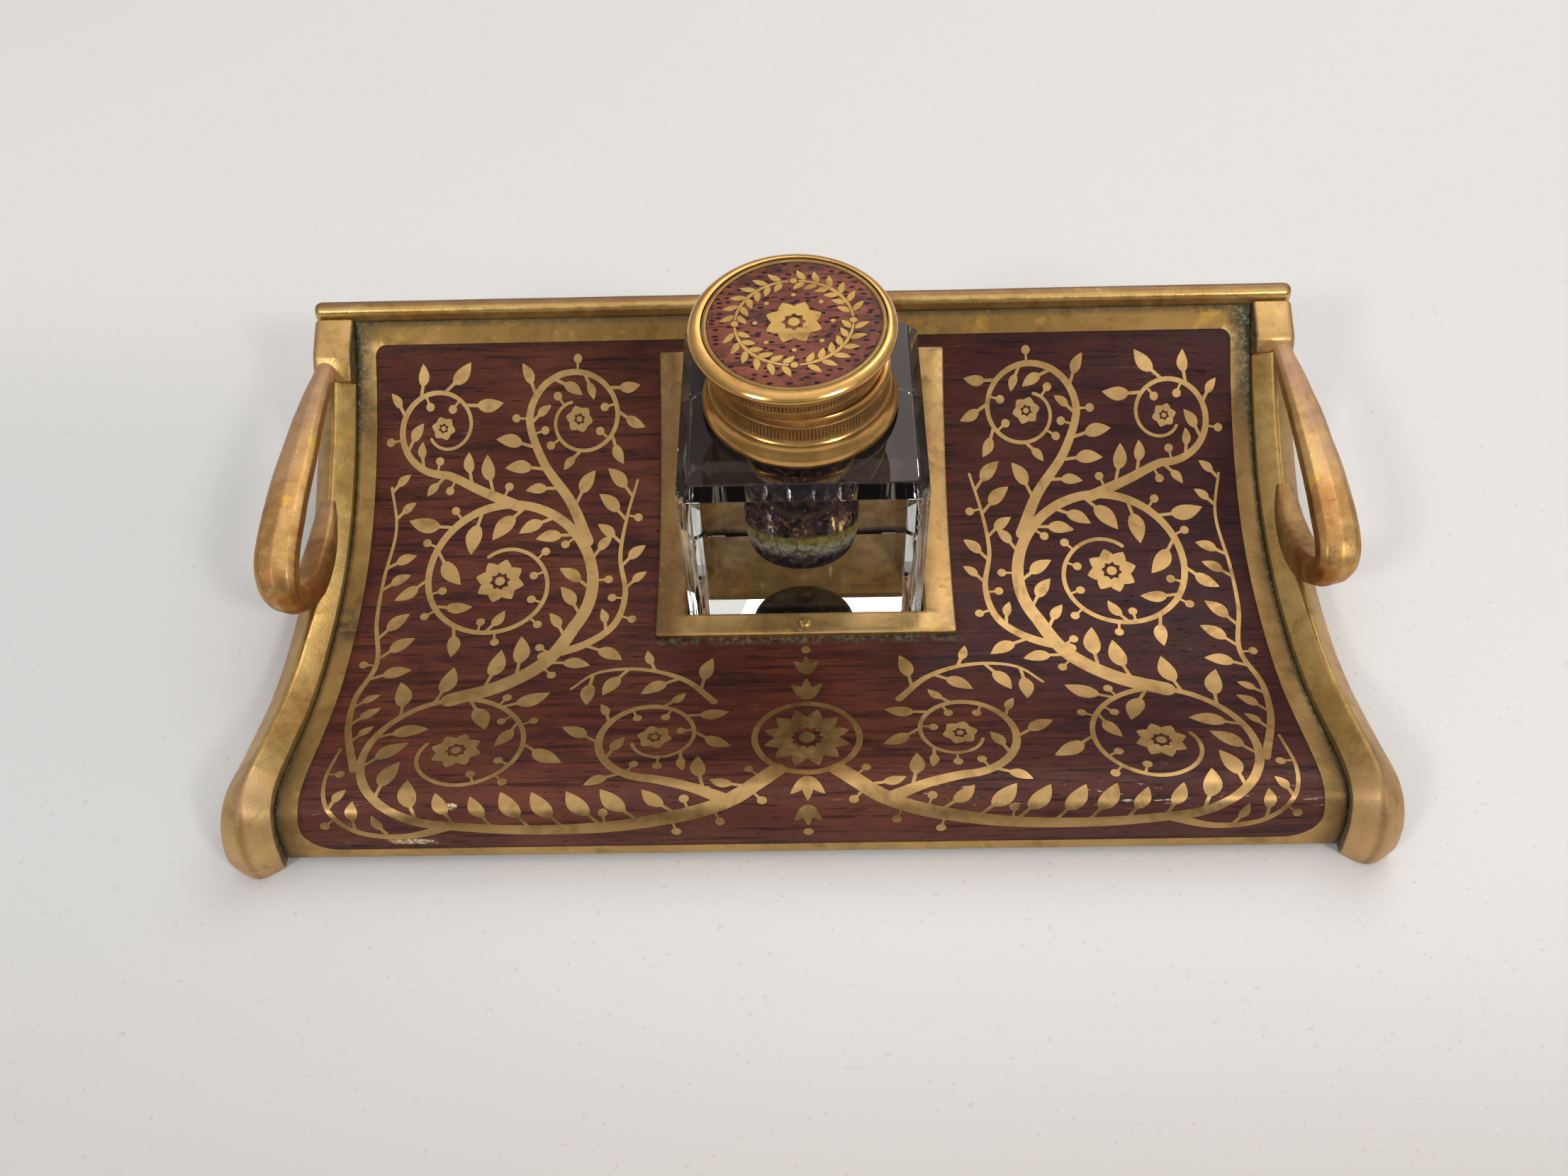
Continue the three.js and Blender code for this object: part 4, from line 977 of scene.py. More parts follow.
    # wood
    v, f, p = sheet(v2, wood_t, top(-0.015, 0.03, 9.0, False), 0.42)
    x, s = p[:, 0], p[:, 1]
    half = FRAME_SIZE / 2
    before = np.clip(1 - (PLATE0 - s) / 1.5, 0, 1) * (np.abs(x) < half + 0.6) * (s < PLATE0 + 1)
    beside = np.clip(1 - (np.abs(x) - half) / 2.2, 0, 1) * (s > PLATE0 - 1) * (np.abs(x) > half - 1)
    edge = np.clip(1 - np.minimum(FIELD - np.abs(x), np.minimum(s - F0, F1 - s)) / 1.6, 0, 1)
    rub = np.clip(smooth(17, 20, s) * smooth(28, 24, s) * smooth(0, 20, x) + 0.6 * smooth(7, 10, s) * smooth(26, 18, s) * (x < -102), 0, 1)
    chips = np.clip(np.minimum(9.6 - np.abs(x + 95.2), 6 * (1.5 - np.abs(s - 9.9 + 0.05 * (x + 95)))) / 4.0, 0, 1) * 0.62
    for px, ps, pw, ph, k in ((-85.4, 21.4, 2.8, 1.4, 0.60), (-25.2, 26.2, 2.6, 0.9, 0.50), (-30.2, 18.2, 5.5, 0.6, 0.56), (-17.0, 17.4, 2.4, 0.4, 0.5),
                              (27.0, 15.8, 6.0, 0.5, 0.58), (33.0, 17.0, 2.6, 0.5, 0.52), (8.0, 16.4, 3.0, 0.4, 0.5), (120.6, 27.2, 1.8, 0.8, 0.5), (56.0, 19.0, 4.0, 0.35, 0.5)):
        chips = np.maximum(chips, k * np.clip(np.minimum((pw - np.abs(x - px)) / 1.2, (ph - np.abs(s - ps)) / 0.5), 0, 1))
    verd = np.clip(0.55 * before + 0.25 * beside, 0, 1)
    # dirt along the field's edge; in front of and beside the raised frame plate, dirt and painted shade
    grime_and_painted_shade = np.clip(0.6 * edge + 0.7 * np.maximum(before, beside), 0, 1)
    wear = chips
    make("rosewood_veneer", v, f, M["wood"], "stand", ("veneer_panel",), attrs={"verd": two(verd), "grime_and_painted_shade": two(grime_and_painted_shade), "wear": two(wear), "rub": two(rub)})

    # the dark ground that shows in the joints
    plan = Plan()
    e = 0.12
    plan.poly([(-w + e, S_FRONT + e), (w - e, S_FRONT + e), (w - e, S_END - e), (-w + e, S_END - e)], "outer")
    hh += e
    plan.poly([(-hh, HOLE0 - e), (hh, HOLE0 - e), (hh, HOLE1 + e), (-hh, HOLE1 + e)], "hole")
    for s in stations(S_FRONT, S_END, 1.2, 3.2):
        plan.line((-w - 1, s), (w + 1, s))
    for x in np.linspace(-w, w, 13)[1:-1]:
        plan.line((x, S_FRONT - 1), (x, S_END + 1))
    v2, tris, tags = plan.cut()
    ts = [t for t, g in zip(tris, tags) if "outer" in g and "hole" not in g]
    flat = lambda p, h: np.column_stack([p[:, 0], board_at(p[:, 1], SURF - 0.5 + h)])
    v, f, p = sheet(v2, ts, flat, 0.5)
    make("veneer_ground", v, f, M["glue"], "stand")


board()


# ---------------------------------------------------------------- castings at the sides
def bm_of(v, f):
    bm = bmesh.new()
    vs = [bm.verts.new(tuple(p)) for p in v]
    for q in f:
        q = [vs[i] for k, i in enumerate(q) if i != q[k - 1]]
        if len(q) > 2:
            try:
                bm.faces.new(q)
            except ValueError:
                pass
    return bm


def out_of(bm):
    bm.verts.index_update()
    v = np.array([tuple(p.co) for p in bm.verts])
    f = [tuple(q.index for q in g.verts) for g in bm.faces]
    bm.free()
    return v, f


def cut_plane(v, f, co, no):
    """Keeps the side that the normal points to, and closes the cut."""
    bm = bm_of(v, f)
    r = bmesh.ops.bisect_plane(bm, geom=bm.verts[:] + bm.edges[:] + bm.faces[:], dist=1e-4, plane_co=co, plane_no=no, clear_inner=True)
    edges = [e for e in r["geom_cut"] if isinstance(e, bmesh.types.BMEdge)]
    bmesh.ops.edgenet_fill(bm, edges=edges, mat_nr=0, use_smooth=False, sides=0)
    bmesh.ops.recalc_face_normals(bm, faces=bm.faces[:])
    return outward(*out_of(bm))


def mirrored(v, f):
    return np.asarray(v) * np.array([-1, 1, 1]), [tuple(reversed(q)) for q in f]


def rail_ring(s, grow=0.0):
    foot = 1 - float(smooth(4, 38, s))
    start = float(smooth(0, 8, s))
    out = RAIL_OUT + FOOT_FLARE * foot + grow
    inn = RAIL_IN - grow + 0.8 * (1 - start)
    mid = (inn + out) / 2 + 0.3 * foot
    ho = 0.9 * foot * start + grow
    hr = RAIL_RIDGE + 0.5 * foot * start + grow
    tip = 1 - float(smooth(4, 26, s))
    pts = [(inn, -RAIL_T + 0.7 - grow), (inn, grow), (mid, hr + 0.35 - 0.1 * tip), (out - 0.02, ho - 0.15), (out, -RAIL_T + 0.9 - grow),
           (out - 0.9, -RAIL_T - grow), (inn + 0.7, -RAIL_T - grow)]
    ring = rounded(pts, [0.5, 0.28 + 0.5 * tip, 1.7 + 3.6 * tip, 0.9 + 1.5 * tip, 0.6, 0.5, 0.4], 6)
    yz = wave(s, 0.0)
    up = wave(s, 1.0) - yz
    return np.column_stack([ring[:, 0], yz[0] + ring[:, 1] * up[0], yz[1] + ring[:, 1] * up[1]])


RAIL_END = {"left": s_of_y(135.4), "right": s_of_y(138.2)}


def rail_mesh(side, grow=0.0):
    rail_s = np.concatenate([[-3.0, -1.5], stations(0, RAIL_END[side], 0.7, 1.6)])
    v, f = loft([rail_ring(s, grow) for s in rail_s])
    return cut_plane(v, f, (0, 0, 0), (0, 0, 1))


def rail_masks(v, left):
    """Dirt along the ridge, the inner wall and the underside darkened with dirt and painted shade, verdigris in the
    seam, a pinkish film outside the ridge that is partly a painted reflection, and paler pinkish feet as a painted
    highlight.
    """
    ss = np.linspace(0, s_of_y(140), 900)
    yz = wave(ss, 0.0)
    x = np.abs(v[:, 0])
    grime_and_painted_shade, verd, pink = np.zeros(len(v)), np.zeros(len(v)), np.zeros(len(v))
    for i, p in enumerate(v):
        k = int(np.argmin((yz[:, 0] - p[1]) ** 2 + (yz[:, 1] - p[2]) ** 2))
        up = wave(ss[k], 1.0) - yz[k]
        h = (p[1] - yz[k][0]) * up[0] + (p[2] - yz[k][1]) * up[1]
        # the inner wall darkened: painted shade in the step, with dirt
        wall = (x[i] < RAIL_IN + 0.9) * float(smooth(0.25, -0.7, h))
        ridge = max(0.0, 1 - abs(x[i] - 135.4) / 1.3) * (h > 2) * float(smooth(26, 10, p[1]) * 0.7 + 0.3)
        # darker low down under the rail's top: painted shade
        low = 0.5 if h < -2.5 else 0.0
        grime_and_painted_shade[i] = min(1.0, 1.0 * wall + 0.5 * ridge + low)
        verd[i] = min(1.0, (0.25 if left else 0.5) * wall)
        # outside the ridge a pinkish film, partly a painted reflection
        pink[i] = float(smooth(134.6, 138.2, x[i])) * float(smooth(6, 18, p[1]) * 0.8 + 0.2)
        # the feet paler and pinker: a painted highlight
        pink[i] = max(pink[i], 0.62 * float(smooth(20, 6, p[1])) * float(smooth(126.0, 128.0, x[i])))
    return {"grime_and_painted_shade": grime_and_painted_shade, "verd": verd, "pink": pink, "flake": (1 - pink) * 0.6}


def cutter(v, f, name):
    me = bpy.data.meshes.new(name)
    me.from_pydata(place(v).tolist(), [], [list(map(int, q)) for q in f])
    me.update()
    ob = bpy.data.objects.new(name, me)
    bpy.context.scene.collection.objects.link(ob)
    return ob


def boolean(ob, other, op="DIFFERENCE", keep=False):
    m = ob.modifiers.new("cut", "BOOLEAN")
    m.operation, m.solver, m.object = op, "EXACT", other
    bake_modifiers(ob)
    if not keep:
        bpy.data.objects.remove(other)


def swell(v, f, d):
    """All points out along their normals by d."""
    bm = bm_of(v, f)
    bm.normal_update()
    for p in bm.verts:
        p.co += p.normal * d
    return out_of(bm)


REAR = [
    [146.0, 34.8, 2.4, 134.6, 139.6], [144.2, 35.2, 2.4, 134.6, 139.6], [140.5, 36.0, 2.4, 134.5, 139.6], [136.5, 37.0, 2.5, 134.2, 139.4],
    [131.0, 37.9, 2.6, 133.8, 139.4], [124.0, 38.8, 2.7, 133.2, 139.9], [116.0, 39.3, 2.8, 132.7, 140.4], [107.0, 39.4, 2.9, 132.2, 141.0],
    [98.0, 39.2, 3.0, 131.9, 141.4], [89.0, 38.8, 3.1, 131.6, 141.8], [80.5, 38.0, 3.2, 131.4, 142.1]]
ARM = {
    "left": np.array(REAR + [
        [73.5, 36.9, 3.3, 131.3, 142.2], [68.0, 35.3, 3.4, 131.2, 142.1], [64.2, 33.0, 3.5, 131.2, 141.8], [62.2, 30.2, 3.5, 131.2, 141.3],
        [62.1, 26.9, 3.6, 131.2, 140.8], [63.8, 23.4, 3.8, 131.2, 140.4], [67.0, 20.0, 4.1, 131.2, 140.2], [71.4, 16.7, 4.3, 131.3, 140.0],
        [77.0, 14.3, 4.4, 131.4, 139.9], [84.0, 13.1, 4.2, 131.5, 139.6], [91.0, 13.7, 3.5, 131.7, 139.0], [98.0, 15.5, 2.4, 132.2, 138.2], [103.0, 17.6, 1.2, 133.0, 137.0]]),
    "right": np.array(REAR + [
        [74.2, 37.1, 3.3, 131.3, 142.2], [69.0, 35.9, 3.4, 131.2, 142.1], [65.7, 34.0, 3.5, 131.2, 141.9], [64.1, 31.7, 3.5, 131.2, 141.5],
        [64.1, 28.8, 3.6, 131.2, 141.0], [65.8, 25.5, 3.8, 131.2, 140.6], [68.9, 22.0, 4.1, 131.2, 140.3], [73.1, 18.5, 4.3, 131.3, 140.1],
        [78.3, 15.7, 4.4, 131.4, 139.9], [84.6, 14.0, 4.2, 131.5, 139.6], [91.3, 14.1, 3.5, 131.7, 139.0], [98.0, 15.6, 2.4, 132.2, 138.2], [103.0, 17.6, 1.2, 133.0, 137.0]])}


def arm_mesh(side):
    path = spline(ARM[side], 8, 0.25)
    d = np.gradient(path[:, :2], axis=0)
    d /= np.linalg.norm(d, axis=1)[:, None]
    rings = []
    for (y, z, t, xi, xo), (dy, dz) in zip(path, d):
        w, m = xo - xi, (xi + xo) / 2
        pts = [(xi, -0.55 * t), (xi, 0.46 * t), (xi + 0.16 * w, 0.84 * t), (m, 1.06 * t), (xo - 0.16 * w, 0.84 * t),
               (xo, 0.46 * t), (xo, -0.55 * t), (xo - 0.2 * w, -t), (xi + 0.2 * w, -t)]
        q = rounded(pts, [1.2, 0.8, 1.2, 2.2, 1.2, 0.8, 1.2, 1.6, 1.6], 3)
        rings.append(np.column_stack([q[:, 0], y + q[:, 1] * dz, z - q[:, 1] * dy]))
    return loft(rings)


def post_outline(side):
    s = RAIL_END[side]
    (end_y, end_z), (low_y, low_z) = wave(s, RAIL_RIDGE), wave(s, -RAIL_T)
    along = wave(s, 0) - wave(s - 0.5, 0)
    along /= np.linalg.norm(along)
    slip = 0.05
    return [
        (low_y + slip * along[0], low_z + slip * along[1]), (end_y + slip * along[0], end_z + slip * along[1]),
        (138.0, 40.4), (139.6, 41.4), (141.6, 42.2), (149.2, 45.3), (149.3, 30.0), (149.3, 14.0), (149.7, 6.0), (150.6, 2.2), (150.9, 0.0),
        (141.4, 0.0), (141.9, 2.2), (142.9, 6.0), (143.4, 14.0), (143.2, 21.0), (142.7, 25.0)]


def post_mesh(side):
    line, radii = post_outline(side), [0.5, 0.3, 3.0, 3.0, 4.0, 0.6, 9, 9, 9, 3, 0.2, 0.2, 3, 9, 14, 9, 3]
    if not poly_ccw(line):
        line, radii = line[::-1], radii[::-1]
    rings = []
    x0, x1 = RAIL_IN, RAIL_OUT + 0.35
    for x, inset in ((x0, 0.75), (x0 + 0.12, 0.40), (x0 + 0.40, 0.13), (x0 + 0.9, 0.0), ((x0 + x1) / 2, 0.0), (x1 - 2.2, 0.0), (x1 - 1.3, 0.10), (x1 - 0.6, 0.36), (x1 - 0.18, 0.75), (x1, 1.25)):
        g = np.array(rounded(grown(line, -inset) if inset else line, [max(0.06, r - inset) for r in radii], 4))
        g[:, 1] = np.maximum(g[:, 1], 0.0)
        rings.append(np.column_stack([np.full(len(g), x), g]))
    n = len(rings[0])
    m = len(rings)
    v = np.vstack(rings)
    f = [(i * n + j, i * n + (j + 1) % n, (i + 1) * n + (j + 1) % n, (i + 1) * n + j) for i in range(m - 1) for j in range(n)]
    f += [tuple(range(n))[::-1], tuple(range((m - 1) * n, m * n))]
    return outward(v, f)


def poly_ccw(p):
    p = np.asarray(p)
    return (p[:, 0] * np.roll(p[:, 1], -1) - p[:, 1] * np.roll(p[:, 0], -1)).sum() > 0


def height_masks(v, left, arm):
    """Masks for handles and posts: a pinkish film towards the back, gold flakes towards the knee, dirt and painted
    shade low in the return, and rusty orange at the front and low on the handle that is partly painted shade.
    """
    y, z, x = v[:, 1], v[:, 2], np.abs(v[:, 0])
    # low in the return, and low on the posts, the brass darkens: painted shade under the arm, with dirt
    g = np.clip((24 - z) / 14, 0, 1) * np.clip((y - 64) / 10, 0, 1) * 0.65
    g = np.maximum(g, 0.30 * np.clip(1 - np.abs(y - 143.6) / 1.4, 0, 1))
    if arm:
        pink = smooth(76, 104, y) * smooth(132.5, 136.5, x + 0.05 * (y - 100))
        flake = smooth(124, 104, y) * smooth(58, 66, y) * smooth(27, 31, z)
        # rusty orange at the front and low on the handle: partly tarnish, partly painted shade
        rust_and_painted_shade = np.maximum(smooth(92, 74, y) * 0.7, smooth(33, 27, z) * (y < 90) * 0.9)
    else:
        pink = 0.25 * smooth(134, 139, x) + 0.15
        flake = 0.35 + 0 * y
        rust_and_painted_shade = 0.25 + 0 * y
        # the post's seam and its corner against the back rail darkened: dirt and painted shade
        seam = np.clip(1 - (x - RAIL_IN) / 0.7, 0, 1)
        g = np.maximum(g, 0.8 * seam)
        g = np.maximum(g, 0.7 * smooth(148.2, 149.2, y) * (z > 38))
    verd = 0.15 * np.clip(1 - np.abs(y - 144) / 1.6, 0, 1) + (0 if arm else (0.35 if left else 0.6) * seam)
    return {"grime_and_painted_shade": g, "verd": verd, "pink": pink, "flake": flake, "rust_and_painted_shade": rust_and_painted_shade}


for side, flip in (("right", False), ("left", True)):
    seed = 3.0 if flip else 11.0
    v, f = rail_mesh(side)
    if flip:
        v, f = mirrored(v, f)
    low = np.clip(v[:, 2:3] / 3.0, 0, 1)
    v = v + (wobble(v, 0.16, 11.0, seed) - v) * low + (wobble(v, 0.05, 2.6, seed + 5) - v) * low
    rail = make(side + "_rail_casting", v, f, M["cast"], "stand", (side + "_rail",), sharp=42, attrs=rail_masks(v, flip))
    big = cutter(*swell(v, f, 0.04), side + "_rail_cut")

    v, f = post_mesh(side)
    if flip:
        v, f = mirrored(v, f)
    low = np.clip(v[:, 2:3] / 3.0, 0, 1)
    make(side + "_corner_block", v, f, M["cast"], "stand", (side + "_rear_post",), sharp=34, attrs=height_masks(v, flip, False))
    block = cutter(*swell(v, f, 0.04), side + "_block_cut")

    v, f = arm_mesh(side)
    if flip:
        v, f = mirrored(v, f)
    v = v + (wobble(v, 0.22, 12.0, seed + 20) - v) + (wobble(v, 0.07, 2.8, seed + 25) - v)
    arm = make(side + "_loop_handle", v, f, M["worn"], "stand", (side + "_handle",), sharp=40)
    boolean(arm, big)
    boolean(arm, block)
    co = np.array([tuple(q.co) for q in arm.data.vertices]) * 1000 - np.array([0, YS, 0])
    for k, a in height_masks(co, flip, True).items():
        arm.data.attributes.new(k, "FLOAT", "POINT").data.foreach_set("value", np.asarray(a, np.float32))
    arm.data.shade_smooth()
    arm.data.set_sharp_from_angle(angle=math.radians(40))


# ---------------------------------------------------------------- back rail
def back_rail():
    y0, y1, top = BACK_Y0, BACK_Y0 + BACK_T, BACK_TOP
    line, radii = [(y0, 34.5), (y1, 34.5), (y1, top - 0.8), (y0 + 2.9, top + 0.1), (y0, top - 0.9)], [0.4, 0.5, 2.0, 2.6, 2.4]
    if not poly_ccw(line):
        line, radii = line[::-1], radii[::-1]
    prof = rounded(line, radii, 6)
    half, r = RAIL_OUT + 0.3, 2.2
    xs = []
    for k in range(9):
        t = k / 8 * math.pi / 2
        xs.append((-half + r * (1 - math.sin(t)), r * 0.92 * (1 - math.cos(t))))
    xs = xs[::-1]
    xs = [(-half + r * (1 - math.cos(t)), r * 0.92 * (1 - math.sin(t))) for t in np.linspace(0, math.pi / 2, 9)]
    mids = [(x, 0.0) for x in np.linspace(-half + r, half - r, 70)[1:-1]]
    row = xs + mids + [(-x, i) for x, i in xs[::-1]]
    rings = []
    for x, inset in row:
        g = rounded(grown(line, -0.6 * inset), [max(0.06, q - 0.6 * inset) for q in radii], 6) if inset > 1e-6 else prof
        rings.append(np.column_stack([np.full(len(g), x), g]))
    v, f = loft(rings)
    v2 = wobble(v, 0.10, 22.0, 31.0)
    v[:, 2] = v2[:, 2]
    front = np.clip(1 - np.abs(v[:, 1] - y0) / 0.6, 0, 1)
    ends = np.clip(1 - (half - np.abs(v[:, 0])) / 14, 0, 1)
    # below the rounded top the bar is darker, dirt and painted shade; its top is darker and browner, painted shade with
    # rusty and pinkish tones
    bar = make("back_rail_bar", v, f, M["cast"], "stand", ("back_rail",), sharp=42,
         attrs={"grime_and_painted_shade": np.clip(0.9 * smooth(45.6, 44.6, v[:, 2]), 0, 1), "verd": np.clip(0.5 * smooth(45.4, 44.4, v[:, 2]) * (ends > 0), 0, 1),
                "pink": 0.75 * smooth(y0 + 1.2, y0 + 2.6, v[:, 1]), "rust_and_painted_shade": 0.75 * smooth(y0 + 0.9, y0 + 1.8, v[:, 1]), "shade": 0.55 * smooth(y0 + 0.9, y0 + 1.8, v[:, 1]),
                "flake": 0.8 * smooth(y0 + 1.4, y0 + 0.3, v[:, 1])})
    for q in bar.data.polygons:
        if len(q.vertices) == 3:
            q.use_smooth = False


back_rail()


# ---------------------------------------------------------------- frame plate and its screws
def frame_plate():
    plan = Plan()
    half, o = FRAME_SIZE / 2, FRAME_OPEN / 2
    s0, s1 = PLATE0, PLATE1
    q0, q1 = s_of_y(WELL_Y - o, SURF), s_of_y(WELL_Y + o, SURF)
    outer = rounded([(-half, s0), (half, s0), (half, s1), (-half, s1)], [0.9] * 4, 4)
    inner = rounded([(-o, q0), (o, q0), (o, q1), (-o, q1)], [1.1] * 4, 4)
    plan.poly(outer, "outer")
    plan.poly(inner, "hole")
    for d in (0.14, 0.42):
        plan.poly(grown(outer, -d), "x")
        plan.poly(grown(inner, d), "x")
    for y in (WELL_Y - o - 4.1, WELL_Y + o + 3.4):
        for r in (1.5, 2.1, 2.6, 3.3):
            plan.poly(circle((0, s_of_y(y)), r, 32), "x")
    for s in stations(s0, s1, 2.0, 2.0)[1:-1]:
        plan.line((-half - 1, s), (half + 1, s))
    for x in np.linspace(-half, half, 22)[1:-1]:
        plan.line((x, s0 - 1), (x, s1 + 1))
    v2, tris, tags = plan.cut()
    ts = [t for t, g in zip(tris, tags) if "outer" in g and "hole" not in g and len(t) == 3]

    def top(p, h):
        out = np.empty((len(p), 3))
        for i, (x, s) in enumerate(p):
            do = min(half - abs(x), s - s0, s1 - s)
            di = max(abs(x) - o, q0 - s, s - q1)
            d = max(0.0, min(do, di))
            e = 0.30 * (1 - min(1.0, d / 0.42)) ** 2
            lift = 0.07 * nz(x, s, 0, 20, 5) + 0.03 * nz(x, s, 1, 5, 6)
            k = (SURF + GAP + FRAME_T + lift - e) if h == 0.0 else SURF + 0.03
            yz = board_at(s, k)
            out[i] = (x, yz[0], yz[1])
        return out

    v, f, p = sheet(v2, ts, top, 1.0)
    x, s = p[:, 0], p[:, 1]
    inner_d = np.maximum(np.abs(x) - o, np.maximum(q0 - s, s - q1))
    outer_d = np.minimum(half - np.abs(x), np.minimum(s - s0, s1 - s))
    ring = np.zeros(len(p))
    for y in (WELL_Y - o - 4.1, WELL_Y + o + 3.4):
        ring = np.maximum(ring, np.clip(1 - np.abs(np.hypot(x + 0.0, s - s_of_y(y)) - 2.2) / 0.8, 0, 1))
    grime_and_painted_shade = np.clip(0.7 * np.clip(1 - inner_d / 0.9, 0, 1) + 0.4 * np.clip(1 - outer_d / 0.5, 0, 1) * (s > s0 + 1) + 0.4 * ring, 0, 1)
    verd = np.clip(0.75 * ring + 0.3 * np.clip(1 - outer_d / 1.4, 0, 1) * (s > s0 + 3), 0, 1)
    leftside = smooth(-o + 1, -o - 2, x)
    frontside = smooth(q0 + 1, q0 - 2, s) * (1 - leftside)
    # painted shade: the plate darker on its left side; the rusty brown there is partly painted shade too
    shade = np.clip(0.75 * leftside + 0.15 * smooth(o, o + 3, x), 0, 1)
    two = lambda a: np.concatenate([a, a])
    make("frame_plate", v, f, M["sheet"], "stand", ("well_frame",),
         attrs={"grime_and_painted_shade": two(grime_and_painted_shade), "verd": two(verd), "shade": two(shade), "rust_and_painted_shade": two(0.5 * leftside), "flake": two(0.5 * frontside), "tan": two(frontside)})

    for name, y, turn in (("frame_screw_front", WELL_Y - o - 4.1, 1.2), ("frame_screw_back", WELL_Y + o + 3.4, 0.5)):
        s = s_of_y(y)
        prof = rounded([(0.0, 0.0), (1.95, 0.0), (2.0, 0.55), (1.45, 1.35), (0.0, 1.62)], [0, 0.12, 0.35, 0.9, 0], 4)
        v, f = lathe(prof, 56)
        yz0, up = board_at(s, SURF + GAP + FRAME_T + 0.06), wave(s, 1.0) - wave(s, 0.0)
        ax = math.atan2(-up[0], up[1])
        rot = Matrix.Rotation(ax, 3, "X")

        def put(w):
            return np.array([tuple(rot @ Vector(tuple(q))) for q in w]) + np.array([0, yz0[0], yz0[1]])

        ob = make(name + "_head", put(v), f, M["screw"], "stand", (name,), sharp=50)
        c, sn = math.cos(turn), math.sin(turn)
        box = [(a * 3.5 * c - b * 0.31 * sn, a * 3.5 * sn + b * 0.31 * c, z) for z in (0.95, 3.0) for a, b in ((-1, -1), (1, -1), (1, 1), (-1, 1))]
        bf = [(3, 2, 1, 0), (4, 5, 6, 7), (0, 1, 5, 4), (1, 2, 6, 5), (2, 3, 7, 6), (3, 0, 4, 7)]
        boolean(ob, cutter(put(box), bf, "slot_cut"))
        bevelled(ob, 0.09, 2, 45)


frame_plate()


# ---------------------------------------------------------------- glass well
def glass_material():
    n = Nodes("clear_glass")
    film = n.mul(n.attr("stain"), n.level(n.noise(1.0, 5, 0.65, 0.5, src=n.stretch(300, 300, 90)), 0.30, 0.62))
    # the bruised front right corner
    dx = n.math("SUBTRACT", n.axis(0), 0.0315)
    dy = n.math("SUBTRACT", n.axis(1), (WELL_Y - 31.5 + YS) * 0.001)
    far = n.math("SQRT", n.add(n.mul(dx, dx), n.mul(dy, dy)))
    ragged = n.add(far, n.mul(n.noise(420, 4, 0.65, 0.4, w=4), 0.004))
    grind = n.mul(n.inv(n.level(ragged, 0.0032, 0.0046)), n.level(n.noise(800, 4, 0.7, 0.4, w=6), 0.34, 0.56), 0.8)
    speck = n.level(n.noise(900, 1, 0.5, 0, w=8), 0.775, 0.80)
    # painted reflection: the top face tinted purple-brown, as if reflecting a dark room
    top = n.level(n.axis(2), 0.05585, 0.05595)
    col = n.mix(film, srgb(250, 252, 249), srgb(92, 84, 96))
    col = n.mix(top, col, srgb(136, 118, 116))
    col = n.mix(n.most(grind, n.mul(speck, 0.6)), col, srgb(206, 206, 202))
    rough = n.most(n.mul(grind, 0.6), n.mul(film, 0.3))
    n.set(Base_Color=col, Roughness=rough, Normal=n.bump(grind, 0.00006))
    n.b.inputs["Transmission Weight"].default_value = 1.0
    n.b.inputs["IOR"].default_value = 1.5
    # the purple-brown reflection tint is a painted reflection of a dark room
    n.b.inputs["Specular Tint"].default_value = (0.74, 0.62, 0.60, 1)
    n.b.inputs["Metallic"].default_value = 0.0
    path = n.new("ShaderNodeLightPath")
    clear = n.new("ShaderNodeBsdfTransparent")
    clear.inputs["Color"].default_value = (0.86, 0.88, 0.86, 1)
    mix = n.new("ShaderNodeMixShader")
    n.t.links.new(path.outputs["Is Shadow Ray"], mix.inputs[0])
    n.t.links.new(n.b.outputs[0], mix.inputs[1])
    n.t.links.new(clear.outputs[0], mix.inputs[2])
    n.t.links.new(mix.outputs[0], n.out.inputs["Surface"])
    return n.m


